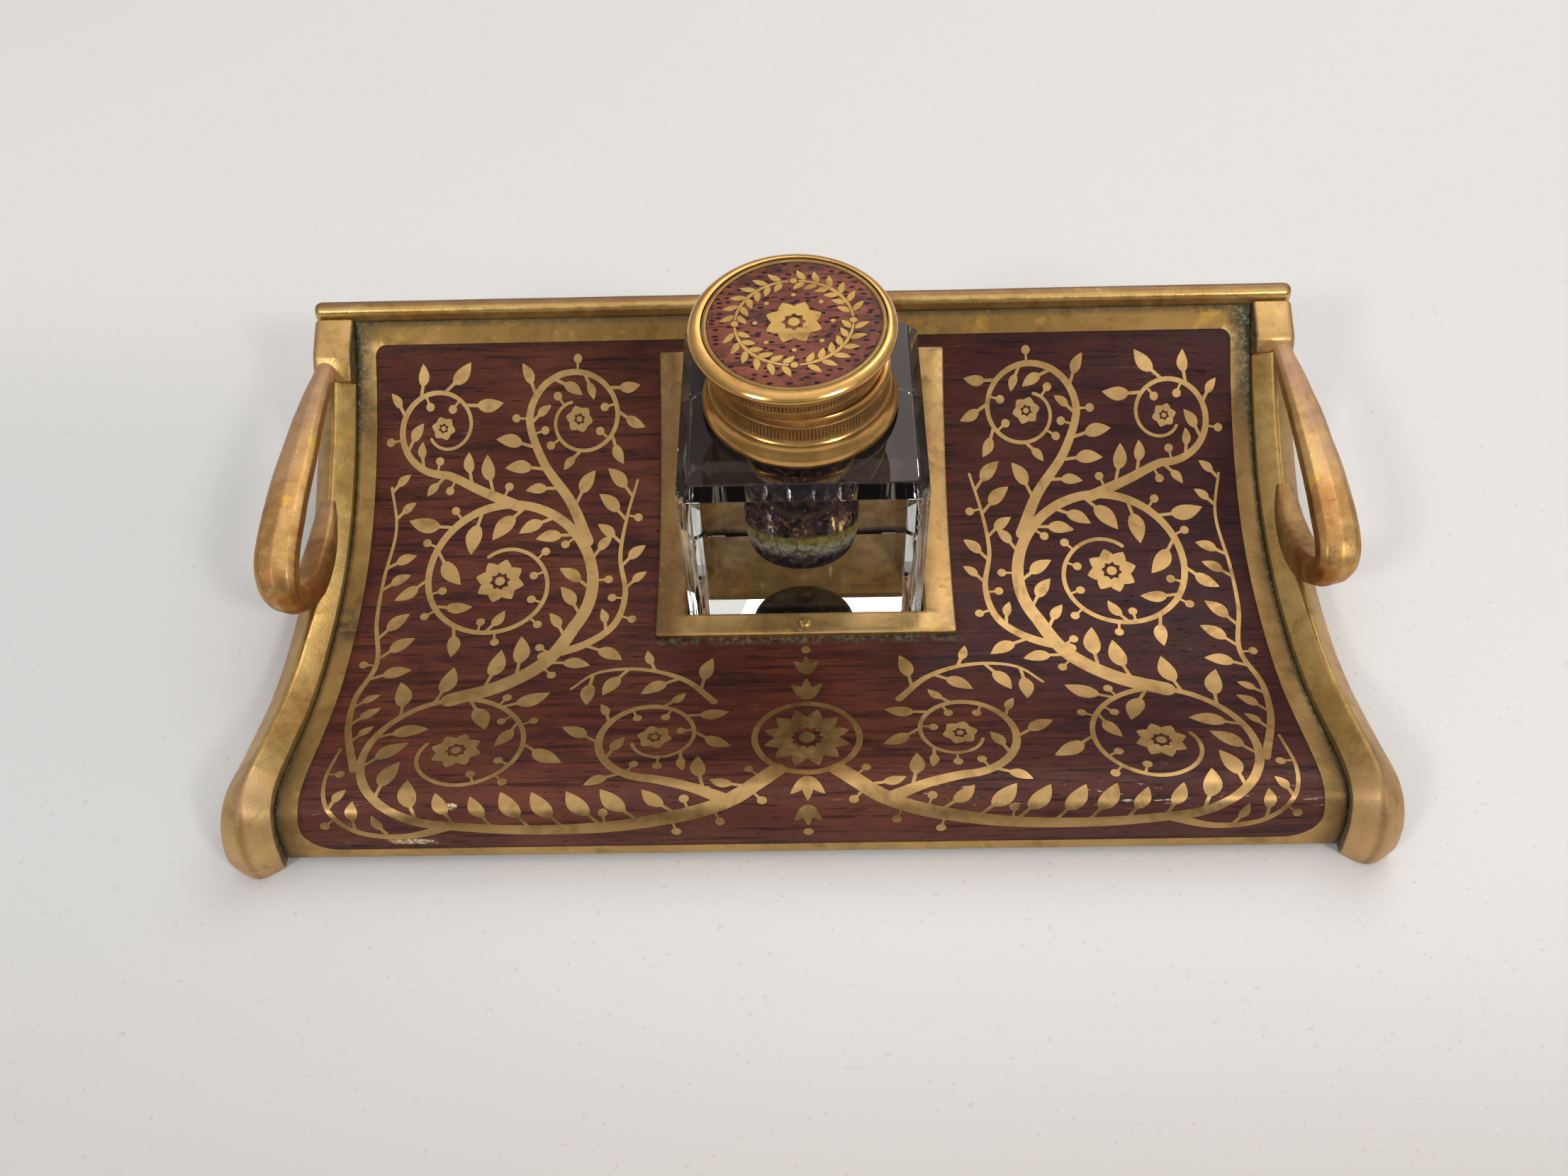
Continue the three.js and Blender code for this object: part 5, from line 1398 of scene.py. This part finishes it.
def ink_material():
    """Dried ink on the wall of the hollow: dark and speckled above, a yellow tide line, a streaked dark bottom."""
    n = Nodes("dried_ink")
    z = n.axis(2)
    n1 = n.noise(260, 6, 0.72, 0.6, w=61)
    n2 = n.noise(800, 4, 0.68, 0.2, w=62)
    n3 = n.noise(1.0, 5, 0.65, 0.4, src=n.stretch(420, 420, 110), w=63)
    n4 = n.noise(430, 5, 0.75, 0.5, w=65)
    zz = n.add(z, n.mul(n1, 0.004))
    col = n.mix(n.level(n1, 0.36, 0.62), srgb(26, 22, 30), srgb(52, 42, 50))
    # a scaly copper-brown band low on the wall
    band = n.mul(n.level(zz, 0.0400, 0.0360), n.level(zz, 0.0295, 0.0325))
    scale = n.level(n.add(n.mul(n4, 0.6), n.mul(n2, 0.4)), 0.52, 0.58)
    col = n.mix(n.mul(band, scale, 0.9), col, n.mix(n.level(n2, 0.42, 0.6), srgb(120, 74, 48), srgb(168, 124, 90)))
    col = n.mix(n.mul(n.level(n.noise(1300, 2, 0.5, 0, w=64), 0.66, 0.73), 0.8), col, srgb(206, 192, 170))
    tide = n.mul(n.level(zz, 0.0205, 0.0245), n.level(zz, 0.0310, 0.0290))
    tc = n.mix(n.level(zz, 0.0285, 0.0250), srgb(160, 144, 74), srgb(178, 178, 158))
    col = n.mix(n.mul(tide, 0.92), col, n.mix(n.level(n4, 0.46, 0.60), tc, srgb(96, 84, 48)))
    foot = n.inv(n.level(zz, 0.0165, 0.0205))
    col = n.mix(n.mul(foot, 0.9), col, n.mix(n.level(n3, 0.58, 0.70), srgb(30, 32, 38), srgb(150, 150, 144)))
    cover = n.level(n.add(n.mul(n3, 0.7), n.mul(n2, 0.3)), 0.40, 0.52)
    cover = n.most(cover, n.most(n.mul(foot, 0.85), n.mul(tide, 0.8)))
    cover = n.mul(cover, n.level(zz, 0.0560, 0.0525))
    alpha = n.add(n.mul(cover, 0.90), 0.0, True)
    n.set(Base_Color=col, Metallic=0.0, Roughness=0.6, Alpha=alpha, Normal=n.bump(n2, 0.00004))
    n.b.inputs["Specular IOR Level"].default_value = 0.2
    return n.m


M["ink"] = ink_material()


def ground_material():
    """Ground, streaked glass: upright whitish and brown streaks, strongest at the corner."""
    n = Nodes("ground_glass")
    x, z = n.axis(0), n.axis(2)
    ax = n.math("ABSOLUTE", x)
    st = n.noise(1.0, 5, 0.6, 0.3, src=n.stretch(900, 900, 42), w=71)
    st2 = n.noise(1.0, 3, 0.6, 0.3, src=n.stretch(1700, 1700, 70), w=72)
    col = n.mix(n.level(st2, 0.40, 0.60), srgb(162, 132, 92), srgb(236, 232, 222))
    cover = n.mul(n.level(st, 0.46, 0.56), n.level(ax, 0.0250, 0.0285))
    lower = n.level(z, 0.046, 0.020)
    cover = n.mul(cover, n.mixf(lower, 0.35, 0.95))
    left = n.level(x, 0.0, -0.001)
    cover = n.mul(cover, n.mixf(left, 0.75, 1.0))
    n.set(Base_Color=col, Metallic=0.0, Roughness=0.35, Alpha=n.add(cover, 0.0, True), Normal=n.bump(st2, 0.00004))
    n.b.inputs["Specular IOR Level"].default_value = 0.5
    return n.m


M["ground"] = ground_material()
M["glass"] = glass_material()


def glass_well():
    G = GLASS / 2
    cy = WELL_Y

    def ring(half, c, z, r=0.35):
        pts = [(-half + c, -half), (half - c, -half), (half, -half + c), (half, half - c), (half - c, half), (-half + c, half), (-half, half - c), (-half, -half + c)]
        q = rounded(pts, [r] * 8, 3)
        return np.column_stack([q[:, 0], q[:, 1] + cy, np.full(len(q), z)])

    levels = [(G - 0.80, GLASS_CORNER - 0.1, GLASS_Z0, 0.3), (G - 0.42, GLASS_CORNER, GLASS_Z0 + 0.10, 0.3), (G - 0.12, GLASS_CORNER, GLASS_Z0 + 0.38, 0.35), (G, GLASS_CORNER, GLASS_Z0 + 0.8, 0.35)]
    levels += [(G, GLASS_CORNER, z, 0.35) for z in (14.0, 26.0, 38.0)]
    top0 = GLASS_Z1 - GLASS_BEVEL_H
    levels += [(G, GLASS_CORNER, top0 - 0.12, 0.35), (G - 0.06, GLASS_CORNER, top0 + 0.08, 0.35),
               (G - GLASS_BEVEL + 0.25, 1.3, GLASS_Z1 - 0.30, 0.3), (G - GLASS_BEVEL, 1.2, GLASS_Z1 - 0.10, 0.3), (G - GLASS_BEVEL - 0.22, 1.15, GLASS_Z1, 0.3)]
    rings = [ring(*l) for l in levels]
    n = len(rings[0])
    v = np.vstack(rings)
    m = len(rings)
    f = [(i * n + j, i * n + (j + 1) % n, (i + 1) * n + (j + 1) % n, (i + 1) * n + j) for i in range(m - 1) for j in range(n)]
    f.append(tuple(range(n))[::-1])
    # the hollow
    wall = spline([(0, 9.6), (4.4, 9.9), (7.9, 10.9), (10.7, 12.7), (12.8, 15.4), (14.3, 19.0), (15.0, 23.5), (15.25, 29.6), (15.25, 36.0), (15.25, 42.0), (15.2, 50.0), (15.1, 54.6)], 5, 0.25)
    wall[0] = (0, 9.6)
    prof = [tuple(p) for p in wall] + [(15.12, 55.3), (15.25, 55.8), (15.55, 56.0)]
    seg = 128
    a = np.arange(seg) * 2 * math.pi / seg
    base = len(v)
    hv = [(HOLLOW_X, cy, 9.6)]
    for r, z in prof[1:]:
        hv += [(HOLLOW_X + r * math.cos(t), cy + r * math.sin(t), z) for t in a]
    for k in range(seg):
        f.append((base, base + 1 + k, base + 1 + (k + 1) % seg))
    for i in range(len(prof) - 2):
        for k in range(seg):
            l = (k + 1) % seg
            p0, p1 = base + 1 + i * seg, base + 1 + (i + 1) * seg
            f.append((p0 + k, p1 + k, p1 + l, p0 + l))
    v = np.vstack([v, hv])
    # the flat top between the two
    last_out, last_in = (m - 1) * n, base + 1 + (len(prof) - 2) * seg
    plan = Plan()
    plan.poly(v[last_out:last_out + n, :2], "outer")
    plan.poly(v[last_in:last_in + seg, :2], "hole")
    v2, tris, tags = plan.cut()
    known = np.vstack([v[last_out:last_out + n], v[last_in:last_in + seg]])
    ids = list(range(last_out, last_out + n)) + list(range(last_in, last_in + seg))
    where = [ids[int(np.argmin(((known[:, :2] - p) ** 2).sum(1)))] for p in v2]
    for t, g in zip(tris, tags):
        if "outer" in g and "hole" not in g:
            q = [where[i] for i in t]
            aa, bb, cc = v[q[0]], v[q[1]], v[q[2]]
            if (bb[0] - aa[0]) * (cc[1] - aa[1]) - (bb[1] - aa[1]) * (cc[0] - aa[0]) < 0:
                q = q[::-1]
            f.append(tuple(q))
    v, f = outward(v, f)
    stain = np.zeros(len(v))
    hz = v[base:, 2]
    stain[base:] = 0.25 * smooth(54.0, 50.0, hz)
    ob = make("glass_block", v, f, M["glass"], "bottle", ("glass_well",), sharp=12, attrs={"stain": stain})
    # the cut faces are true planes; only the hollow and the small edge rounds are shaded smooth
    for q in ob.data.polygons:
        mid = q.center
        if math.hypot(mid[0] * 1000 - HOLLOW_X, (mid[1] * 1000 - YS) - cy) > 15.8 and q.area > 6e-6 or mid[2] < 0.0021:
            q.use_smooth = False

    # dried ink on the wall
    t = np.gradient(wall, axis=0)
    t /= np.linalg.norm(t, axis=1)[:, None]
    keep = wall[:, 1] < 54.0
    skin_in = (wall + np.stack([-t[:, 1], t[:, 0]], 1) * 0.10)[keep]
    skin_out = (wall - np.stack([-t[:, 1], t[:, 0]], 1) * 0.03)[keep]
    skin_in[0, 0] = skin_out[0, 0] = 0.0
    v, f = lathe([tuple(q) for q in skin_out] + [tuple(q) for q in skin_in[::-1]], 96)
    make("dried_ink_film", v + np.array([HOLLOW_X, cy, 0]), f, M["ink"], "bottle", sharp=60)

    # ground, streaked corners: thin skins that follow the front corners
    for side in (-1, 1):
        line = np.array([(-G, -G + 7.0), (-G, -G + GLASS_CORNER), (-G + GLASS_CORNER, -G), (-G + 4.2, -G), (-G + 6.4, -G)])
        out_line = np.array([(-G - 0.05, -G + 7.0), (-G - 0.05, -G + GLASS_CORNER - 0.02), (-G + GLASS_CORNER - 0.02, -G - 0.05), (-G + 4.2, -G - 0.05), (-G + 6.4, -G - 0.05)])
        in_line = line + np.array([0.03, 0.03])
        ring2 = np.vstack([out_line, in_line[::-1]])
        rings = [np.column_stack([ring2[:, 0] * -side, ring2[:, 1] + cy, np.full(len(ring2), z)]) for z in np.linspace(4.0, GLASS_Z1 - GLASS_BEVEL_H - 0.6, 12)]
        v, f = loft(rings)
        make(("left" if side > 0 else "right") + "_ground_corner", v, f, M["ground"], "bottle", sharp=20)


glass_well()


# ---------------------------------------------------------------- collar and its cement
def at_collar(v):
    return np.asarray(v) + np.array([COLLAR_X, WELL_Y, 0])


TEETH = 154


def knurled(bands, depth):
    """Radius function for lathe: fine upright beads on the given (r, z0, z1) bands, four points a bead."""
    def f(r, z, a):
        for r0, z0, z1 in bands:
            if abs(r - r0) < 0.12 and z0 <= z <= z1:
                e = min(1.0, (z - z0) / 0.35, (z1 - z) / 0.35)
                return r - depth * np.tile([0.0, 0.28, 1.0, 0.28], len(a) // 4) * max(0.0, e)
        return np.full(len(a), r)
    return f


def ring_masks(v, low=(), beads=(), rust_and_painted_shade=(), spots=()):
    """Dirt and painted shade in rings near the given (r, z) and in the gaps between the beads."""
    r = np.hypot(v[:, 0], v[:, 1])
    a = np.arctan2(v[:, 1], v[:, 0])
    g, ru = np.zeros(len(v)), np.zeros(len(v))
    for r0, z0, w, k in low:
        g = np.maximum(g, k * np.clip(1 - np.hypot((r - r0), (v[:, 2] - z0)) / w, 0, 1))
    for r0, z0, w, k in rust_and_painted_shade:
        ru = np.maximum(ru, k * np.clip(1 - np.hypot((r - r0), (v[:, 2] - z0)) / w, 0, 1))
    for r0, z0, z1 in beads:
        tooth = np.mod(np.round(a / (2 * math.pi) * TEETH * 4), 4)
        on = (v[:, 2] > z0 + 0.1) & (v[:, 2] < z1 - 0.1) & (np.abs(r - r0) < 0.6)
        g = np.maximum(g, on * np.where(tooth == 2, 1.0, np.where(tooth == 0, 0.0, 0.45)))
    for at, z0, w in spots:
        g = np.maximum(g, 1.3 * np.clip(1 - np.hypot(np.abs(a - at) * r, v[:, 2] - z0) / w, 0, 1) * (r > 22))
    return {"grime_and_painted_shade": np.clip(g, 0, 1), "verd": g * 0.12 * (len(beads) == 0), "rust_and_painted_shade": ru}


def collar():
    kz = list(np.linspace(64.25, 68.75, 9))
    pts = [(16.6, 57.3), (25.5, 57.3), (25.6, 58.2), (25.2, 59.3), (24.3, 60.6), (23.75, 61.7), (23.50, 62.75), (23.62, 62.95), (23.62, 63.45), (23.15, 63.85)]
    rad = [0.2, 0.25, 0.7, 1.0, 3.0, 3.0, 0.15, 0.15, 0.2, 0.12]
    q = list(rounded(pts + [(23.1, 66)], rad + [0], 4))[:-1]
    q += [(23.1, z) for z in kz]
    tail = rounded([(23.1, 68.0), (23.1, 68.95), (22.86, 69.25), (22.9, 69.7), (22.9, 71.1), (22.5, 71.6), (20.7, 71.6), (20.4, 71.2), (20.4, 59.2), (16.6, 58.9), (16.6, 57.9)],
                   [0, 0.1, 0.1, 0.2, 0.35, 0.3, 0.2, 0.2, 0.4, 0.3, 0], 4)
    q += [tuple(p) for p in tail[1:-1]]
    v, f = lathe(q, TEETH * 4, knurled([(23.1, 64.2, 68.8)], 0.30))
    # dark rings at the grooves and in the knurl gaps: dirt and painted shade; orange on the flange's lower edge, partly
    # painted shade
    masks = ring_masks(v, [(23.50, 62.78, 0.30, 0.75), (23.1, 64.0, 0.4, 0.9), (22.9, 69.2, 0.45, 0.9)], [(23.1, 64.2, 68.8)],
                       rust_and_painted_shade=[(25.55, 57.5, 0.8, 1.0)], spots=[(-0.95, 60.2, 0.85)])
    make("turned_collar", at_collar(v), f, M["bright"], "bottle", ("collar",), sharp=40, attrs=masks)
    prof = rounded([(16.3, 56.32), (24.9, 56.32), (24.9, 57.0), (16.3, 57.0)], [0.2, 0.3, 0.3, 0.2], 3)
    v, f = lathe(prof, 160, lambda r, z, a: r + (0.0 if r < 20 else 1.0) * np.array([0.45 * nz(6 * math.cos(t), 6 * math.sin(t), z * 2, 2.0, 77) - 0.15 for t in a]))
    make("cement_bed", at_collar(v), f, M["cement"], "bottle", ("collar_cement",), sharp=50)


collar()


# ---------------------------------------------------------------- hinge pin
def hinge_pin():
    prof = rounded([(0, -7.8), (0.9, -7.8), (0.9, 7.8), (0, 7.8)], [0, 0.3, 0.3, 0], 4)
    v, f = lathe(prof, 32)
    v = np.column_stack([v[:, 2], v[:, 0] + HINGE_Y, v[:, 1] + HINGE_Z])
    v, f = outward(v, f)
    make("hinge_pin_rod", at_collar(v), f, M["steel"], "bottle", ("hinge_pin",), sharp=40)


hinge_pin()


# ---------------------------------------------------------------- lid
LID_M = Matrix.Rotation(math.radians(LID_TILT_X), 3, "X") @ Matrix.Rotation(-math.radians(LID_TILT_Y), 3, "Y")
LID_R3 = np.array([list(r) for r in LID_M])


def at_lid(v):
    return np.asarray(v, float) @ LID_R3.T + np.array([COLLAR_X + LID_SHIFT[0], WELL_Y + LID_SHIFT[1], LID_Z0])


def lid():
    pts = [(0, 8.0), (20.9, 8.0), (20.9, 0.2), (21.2, 0.0), (22.5, 0.0), (22.8, 0.3), (22.8, 2.1), (22.95, 2.35)]
    rad = [0, 0.3, 0.15, 0.15, 0.25, 0.25, 0.1, 0.1]
    q = [tuple(p) for p in rounded(pts + [(22.95, 3.5)], rad + [0], 4)[:-1]]
    q += [(22.95, z) for z in np.linspace(2.5, 4.9, 7)]
    tail = rounded([(22.95, 4.0), (22.95, 5.05), (22.75, 5.35), (22.6, 5.7), (22.8, 6.4), (23.6, 7.2), (24.8, 7.9), (25.7, 8.4), (26.0, 9.1), (25.8, 9.7),
                    (25.2, 10.3), (24.5, 10.7), (23.9, 10.8), (23.1, 10.74), (23.1, 9.2), (0, 9.2)],
                   [0, 0.1, 0.15, 0.4, 1.2, 2.5, 2.5, 0.8, 0.9, 1.0, 1.2, 1.0, 0.5, 0.1, 0.1, 0], 4)
    q += [tuple(p) for p in tail[1:]]
    beads = knurled([(22.95, 2.45, 4.95)], 0.30)

    def radius(r, z, a):
        """The round recess for the disc sits a little off the rim's centre."""
        if abs(r - 23.1) < 0.2 and z > 9.0:
            off = DISC_X * np.sin(a) - DISC_Y * np.cos(a)
            return DISC_X * np.cos(a) + DISC_Y * np.sin(a) + np.sqrt(r * r - off * off)
        return beads(r, z, a)

    v, f = lathe(q, TEETH * 4, radius)
    # dark rings at the steps, by the disc and in the knurl gaps: dirt and painted shade
    masks = ring_masks(v, [(22.6, 5.7, 0.5, 0.5), (22.95, 5.2, 0.4, 0.7), (22.95, 2.3, 0.45, 0.8), (23.1, 9.6, 0.9, 1.0)], [(22.95, 2.45, 4.95)])
    make("lid_rim", at_lid(v), f, M["bright"], "lid", ("lid_shell",), sharp=40, attrs=masks)

    # the wooden disc sits a little off centre in its ring
    cx, cy, R = DISC_X, DISC_Y, 21.55
    outer, inner = circle((cx, cy), 22.82, 160), circle((cx, cy), R + 0.12, 160)
    plan = Plan()
    plan.poly(outer, "outer")
    plan.poly(inner, "hole")
    plan.poly(circle((cx, cy), 22.58, 160), "x")
    plan.poly(circle((cx, cy), R + 0.34, 160), "x")
    v2, tris, tags = plan.cut()
    ts = [t for t, g in zip(tris, tags) if "outer" in g and "hole" not in g]

    def rtop(p, h):
        do = 22.82 - np.hypot(p[:, 0] - cx, p[:, 1] - cy)
        di = np.hypot(p[:, 0] - cx, p[:, 1] - cy) - (R + 0.12)
        e = 0.14 * (1 - np.clip(np.minimum(do, di) / 0.24, 0, 1)) ** 2
        z = np.where(h == 0.0, 10.62 - e, 9.55)
        return np.column_stack([p[:, 0], p[:, 1], z + 0 * do])

    v, f, p = sheet(v2, ts, rtop, 1.0)
    make("lid_ring_inlay", at_lid(v), f, M["dull_ring"], "lid", ("lid_disc_ring",))

    vine = Vine(lambda *_: True)
    vine.flower((0, 0), 7.4, 8, turn=math.pi / 8, eye=0.26)
    shapes = list(vine.shapes)
    for k in range(8):
        a = k * math.pi / 4
        c, s = math.cos(a), math.sin(a)
        shapes.append(circle((9.6 * c, 9.6 * s), 0.62, 12))
    arcs = []
    for k in range(4):
        t = np.linspace(k * math.pi / 2 + 0.10, (k + 1) * math.pi / 2 - 0.10, 34)
        arcs.append(np.stack([14.6 * np.cos(t), 14.6 * np.sin(t)], 1))
        w = 0.55 + 0.35 * np.sin(np.linspace(0, math.pi, 34))
        shapes.append(ribbon(arcs[-1], w))
        for u in (0.08, 0.25, 0.42, 0.59, 0.76, 0.93):
            tt = t[0] + (t[-1] - t[0]) * u
            for side in (1, -1):
                r = 14.6 + side * 0.5
                shapes.append(leaf((r * math.cos(tt), r * math.sin(tt)), tt + math.pi / 2 - side * 0.86, 4.3 if side > 0 else 3.7, 1.75, bend=0.12 * side))
        tm = k * math.pi / 2
        shapes.append(circle((14.6 * math.cos(tm), 14.6 * math.sin(tm)), 0.95, 16))
    plan = Plan()
    plan.poly(circle((cx, cy), R, 160), "outer")
    plan.poly(circle((cx, cy), R - 0.25, 160), "x")
    shapes = [np.asarray(m) + np.array([cx, cy]) for m in shapes]
    for m in shapes:
        plan.poly(grown(m, 0.07), "gap")
        plan.poly(m, "inlay")
    for k in range(-9, 10):
        plan.line((-23, k * 2.3), (23, k * 2.3))
    v2, tris, tags = plan.cut()
    bt, wt = [], []
    for t, g in zip(tris, tags):
        if "outer" in g and len(t) == 3:
            a, b, c = v2[t[0]], v2[t[1]], v2[t[2]]
            if abs((b[0] - a[0]) * (c[1] - a[1]) - (b[1] - a[1]) * (c[0] - a[0])) < 1e-7:
                continue
            if "inlay" in g:
                bt.append(t)
            elif "gap" not in g:
                wt.append(t)

    def dtop(lift, seed):
        def fn(p, h):
            d = R - np.hypot(p[:, 0] - cx, p[:, 1] - cy)
            e = 0.16 * (1 - np.clip(d / 0.25, 0, 1)) ** 2
            z = 10.58 + lift + h - (e if h == 0.0 else 0 * e)
            if h == 0.0:
                z = z + np.array([0.03 * nz(x, y, 0, 9, seed) for x, y in p])
            return np.column_stack([p[:, 0], p[:, 1], z])
        return fn

    v, f, p = sheet(v2, bt, dtop(0.0, 3.0), 0.4)
    make("lid_inlay", at_lid(v), f, M["inlay"], "lid", attrs={"grime_and_painted_shade": np.zeros(len(v)), "verd": np.zeros(len(v))})
    v, f, p = sheet(v2, wt, dtop(-0.01, 4.0), 0.38)
    make("lid_wood", at_lid(v), f, M["lid_wood"], "lid", ("lid_disc",))
    prof = rounded([(0, 9.55), (R - 0.05, 9.55), (R - 0.05, 10.12), (0, 10.12)], [0, 0.1, 0.1, 0], 2)
    v, f = lathe(prof, 96)
    v = v + np.array([cx, cy, 0])
    make("lid_disc_ground", at_lid(v), f, M["glue"], "lid")

    prof = rounded([(0, 6.4), (17.2, 6.4), (17.2, -1.2), (18.3, -1.2), (18.3, 7.7), (0, 7.7)], [0, 0.5, 0.35, 0.45, 0.3, 0], 4)
    v, f = lathe(prof, 128)
    make("lid_liner_cup", at_lid(v), f, M["plain"], "lid", ("lid_liner",), sharp=40)


lid()


# ---------------------------------------------------------------- CAD nodes that stay
def box_material():
    n = Nodes("box_brass")
    f = n.noise(150, 6, 0.62, 0.6, w=51)
    z = n.axis(2)
    wall = n.mix(n.level(f, 0.36, 0.64), srgb(146, 108, 60), srgb(188, 146, 86))
    low = n.level(n.add(z, n.mul(f, 0.002)), 0.0032, 0.0052)
    col = n.mix(n.mul(low, 1.0), n.mix(n.level(f, 0.4, 0.6), srgb(24, 18, 20), srgb(46, 36, 36)), wall)
    n.set(Base_Color=col, Metallic=n.mul(low, 0.85), Roughness=n.mixf(low, 0.75, 0.42), Normal=n.bump(f, 0.00008))
    return n.m


M["box"] = box_material()


def dress(node, m):
    ob = frame["nodes"][node] if not isinstance(frame["nodes"], list) else None
    if isinstance(ob, str):
        ob = bpy.data.objects[ob]
    if not ob.material_slots:
        ob.data.materials.append(m)
    for s in ob.material_slots:
        s.material = m


dress("board_core", M["core"])
dress("well_box", M["box"])
for side in ("left", "right"):
    dress(side + "_support_strip", M["plain"])
    for k in (1, 2, 3):
        dress(f"{side}_strip_screw_{k}", M["steel"])
for k in (1, 2, 3, 4):
    dress(f"back_rail_screw_{k}", M["screw"])
for k in ("collar_hinge_leaf", "lid_hinge_leaf"):
    dress(k, M["plain"])


# ---------------------------------------------------------------- table, light and camera
def floor():
    n = Nodes("pale_table")
    sp = n.level(n.noise(620, 2, 0.5, 0), 0.66, 0.74)
    big = n.noise(3, 3, 0.5, 0)
    col = n.mix(big, srgb(231, 229, 227), srgb(235, 233, 231))
    # painted shade: the table darker to the left of the object and darker towards the front
    col = n.mix(n.mul(n.level(n.axis(0), 0.02, -0.20), n.level(n.axis(1), 0.18, 0.04)), col, srgb(217, 217, 217))
    col = n.mix(n.level(n.axis(1), -0.065, -0.200), col, srgb(206, 201, 196))
    dirt = n.mul(n.level(n.noise(260, 3, 0.6, 0, w=3), 0.66, 0.72), n.level(n.noise(9, 2, 0.5, 0, w=5), 0.48, 0.62))
    col = n.mix(n.most(n.mul(sp, 0.22), n.mul(dirt, 0.30)), col, srgb(176, 160, 148))
    n.set(Base_Color=col, Roughness=0.75, Normal=n.bump(n.noise(800, 3, 0.6, 0), 0.00006))
    n.b.inputs["Specular IOR Level"].default_value = 0.3
    me = bpy.data.meshes.new("table")
    r, z = 2.6, -0.0004
    me.from_pydata([(-r, -r, z), (r, -r, z), (r, r, z), (-r, r, z)], [], [(0, 1, 2, 3)])
    me.materials.append(n.m)
    ob = bpy.data.objects.new("table", me)
    bpy.context.scene.collection.objects.link(ob)
    ob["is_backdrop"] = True


floor()


def world():
    w = bpy.data.worlds.new("studio")
    bpy.context.scene.world = w
    w.use_nodes = True
    t = w.node_tree
    t.nodes.clear()
    out, bg = t.nodes.new("ShaderNodeOutputWorld"), t.nodes.new("ShaderNodeBackground")
    tc, sep, ramp = t.nodes.new("ShaderNodeTexCoord"), t.nodes.new("ShaderNodeSeparateXYZ"), t.nodes.new("ShaderNodeValToRGB")
    t.links.new(tc.outputs["Generated"], sep.inputs[0])
    mp = t.nodes.new("ShaderNodeMapRange")
    mp.inputs["From Min"].default_value, mp.inputs["From Max"].default_value = -1, 1
    t.links.new(sep.outputs[2], mp.inputs[0])
    t.links.new(mp.outputs[0], ramp.inputs[0])
    e = ramp.color_ramp.elements
    stops = [(0.0, 0.40), (0.48, 0.36), (0.60, 0.30), (0.76, 0.42), (0.86, 0.62), (0.94, 1.15), (1.0, 1.45)]
    while len(e) < len(stops):
        e.new(0.5)
    for k, (p, c) in enumerate(stops):
        e[k].position, e[k].color = p, (c, c * 0.985, c * 0.965, 1)
    t.links.new(ramp.outputs[0], bg.inputs[0])
    # the room is brighter behind the object and a little to its right
    side = t.nodes.new("ShaderNodeMath")
    side.operation = "MULTIPLY_ADD"
    t.links.new(sep.outputs[0], side.inputs[0])
    side.inputs[1].default_value, side.inputs[2].default_value = 0.78 * 0.15, 0.78
    depth = t.nodes.new("ShaderNodeMath")
    depth.operation = "MULTIPLY_ADD"
    t.links.new(sep.outputs[1], depth.inputs[0])
    depth.inputs[1].default_value = 0.78 * 0.42
    t.links.new(side.outputs[0], depth.inputs[2])
    t.links.new(depth.outputs[0], bg.inputs[1])
    t.links.new(bg.outputs[0], out.inputs[0])


world()


def softbox(name, where, target, size, power, color=(1, 0.985, 0.965)):
    li = bpy.data.lights.new(name, "AREA")
    li.shape, li.size, li.size_y = "RECTANGLE", size[0], size[1]
    li.energy, li.color = power, color
    ob = bpy.data.objects.new(name, li)
    ob.location = where
    d = Vector(target) - Vector(where)
    ob.rotation_euler = d.to_track_quat("-Z", "Y").to_euler()
    bpy.context.scene.collection.objects.link(ob)


def polar(az, el, d, z=0.03):
    """Azimuth from the front, positive to the right."""
    a, e = math.radians(az), math.radians(el)
    return (d * math.cos(e) * math.sin(a), -d * math.cos(e) * math.cos(a), z + d * math.sin(e))


softbox("front_right", polar(42, 40, 1.5), (0, 0, 0.03), (0.22, 0.22), 5.2)
softbox("front_left", polar(-42, 38, 1.5), (0, 0, 0.03), (0.22, 0.22), 4.6)
softbox("overhead", (0.55, 1.0, 1.25), (0.15, 0.35, 0), (1.2, 0.9), 6.0)

YAW, ELEV, ROLL, FOCAL = math.radians(-1.6083), math.radians(52.2562), math.radians(2.2428), 2000.185
cam = bpy.data.cameras.new("photo_camera")
cam.sensor_fit, cam.sensor_width = "HORIZONTAL", 36.0
cam.lens = FOCAL * 36.0 / 2212.0
cam.clip_start, cam.clip_end = 0.02, 20
cam_ob = bpy.data.objects.new("photo_camera", cam)
fwd = Vector((math.sin(YAW) * math.cos(ELEV), math.cos(YAW) * math.cos(ELEV), -math.sin(ELEV)))
right = Vector((math.cos(YAW), -math.sin(YAW), 0))
down = fwd.cross(right)
c, s = math.cos(ROLL), math.sin(ROLL)
cam_right, cam_down = c * right + s * down, -s * right + c * down
rot = Matrix((cam_right, -cam_down, -fwd)).transposed()
cam_ob.matrix_world = Matrix.Translation(Vector((0.963, -163.341 + YS, 318.291)) * 0.001) @ rot.to_4x4()
bpy.context.scene.collection.objects.link(cam_ob)
bpy.context.scene.camera = cam_ob

bpy.context.scene.view_settings.view_transform = "Standard"
bpy.context.scene.view_settings.exposure = 0.0


def plain_list(b):
    try:
        return [[float(x) for x in p] for p in b]
    except TypeError:
        return [float(x) for x in b]


{"cad": plain_list(cad_box), "visual": plain_list(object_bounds())}
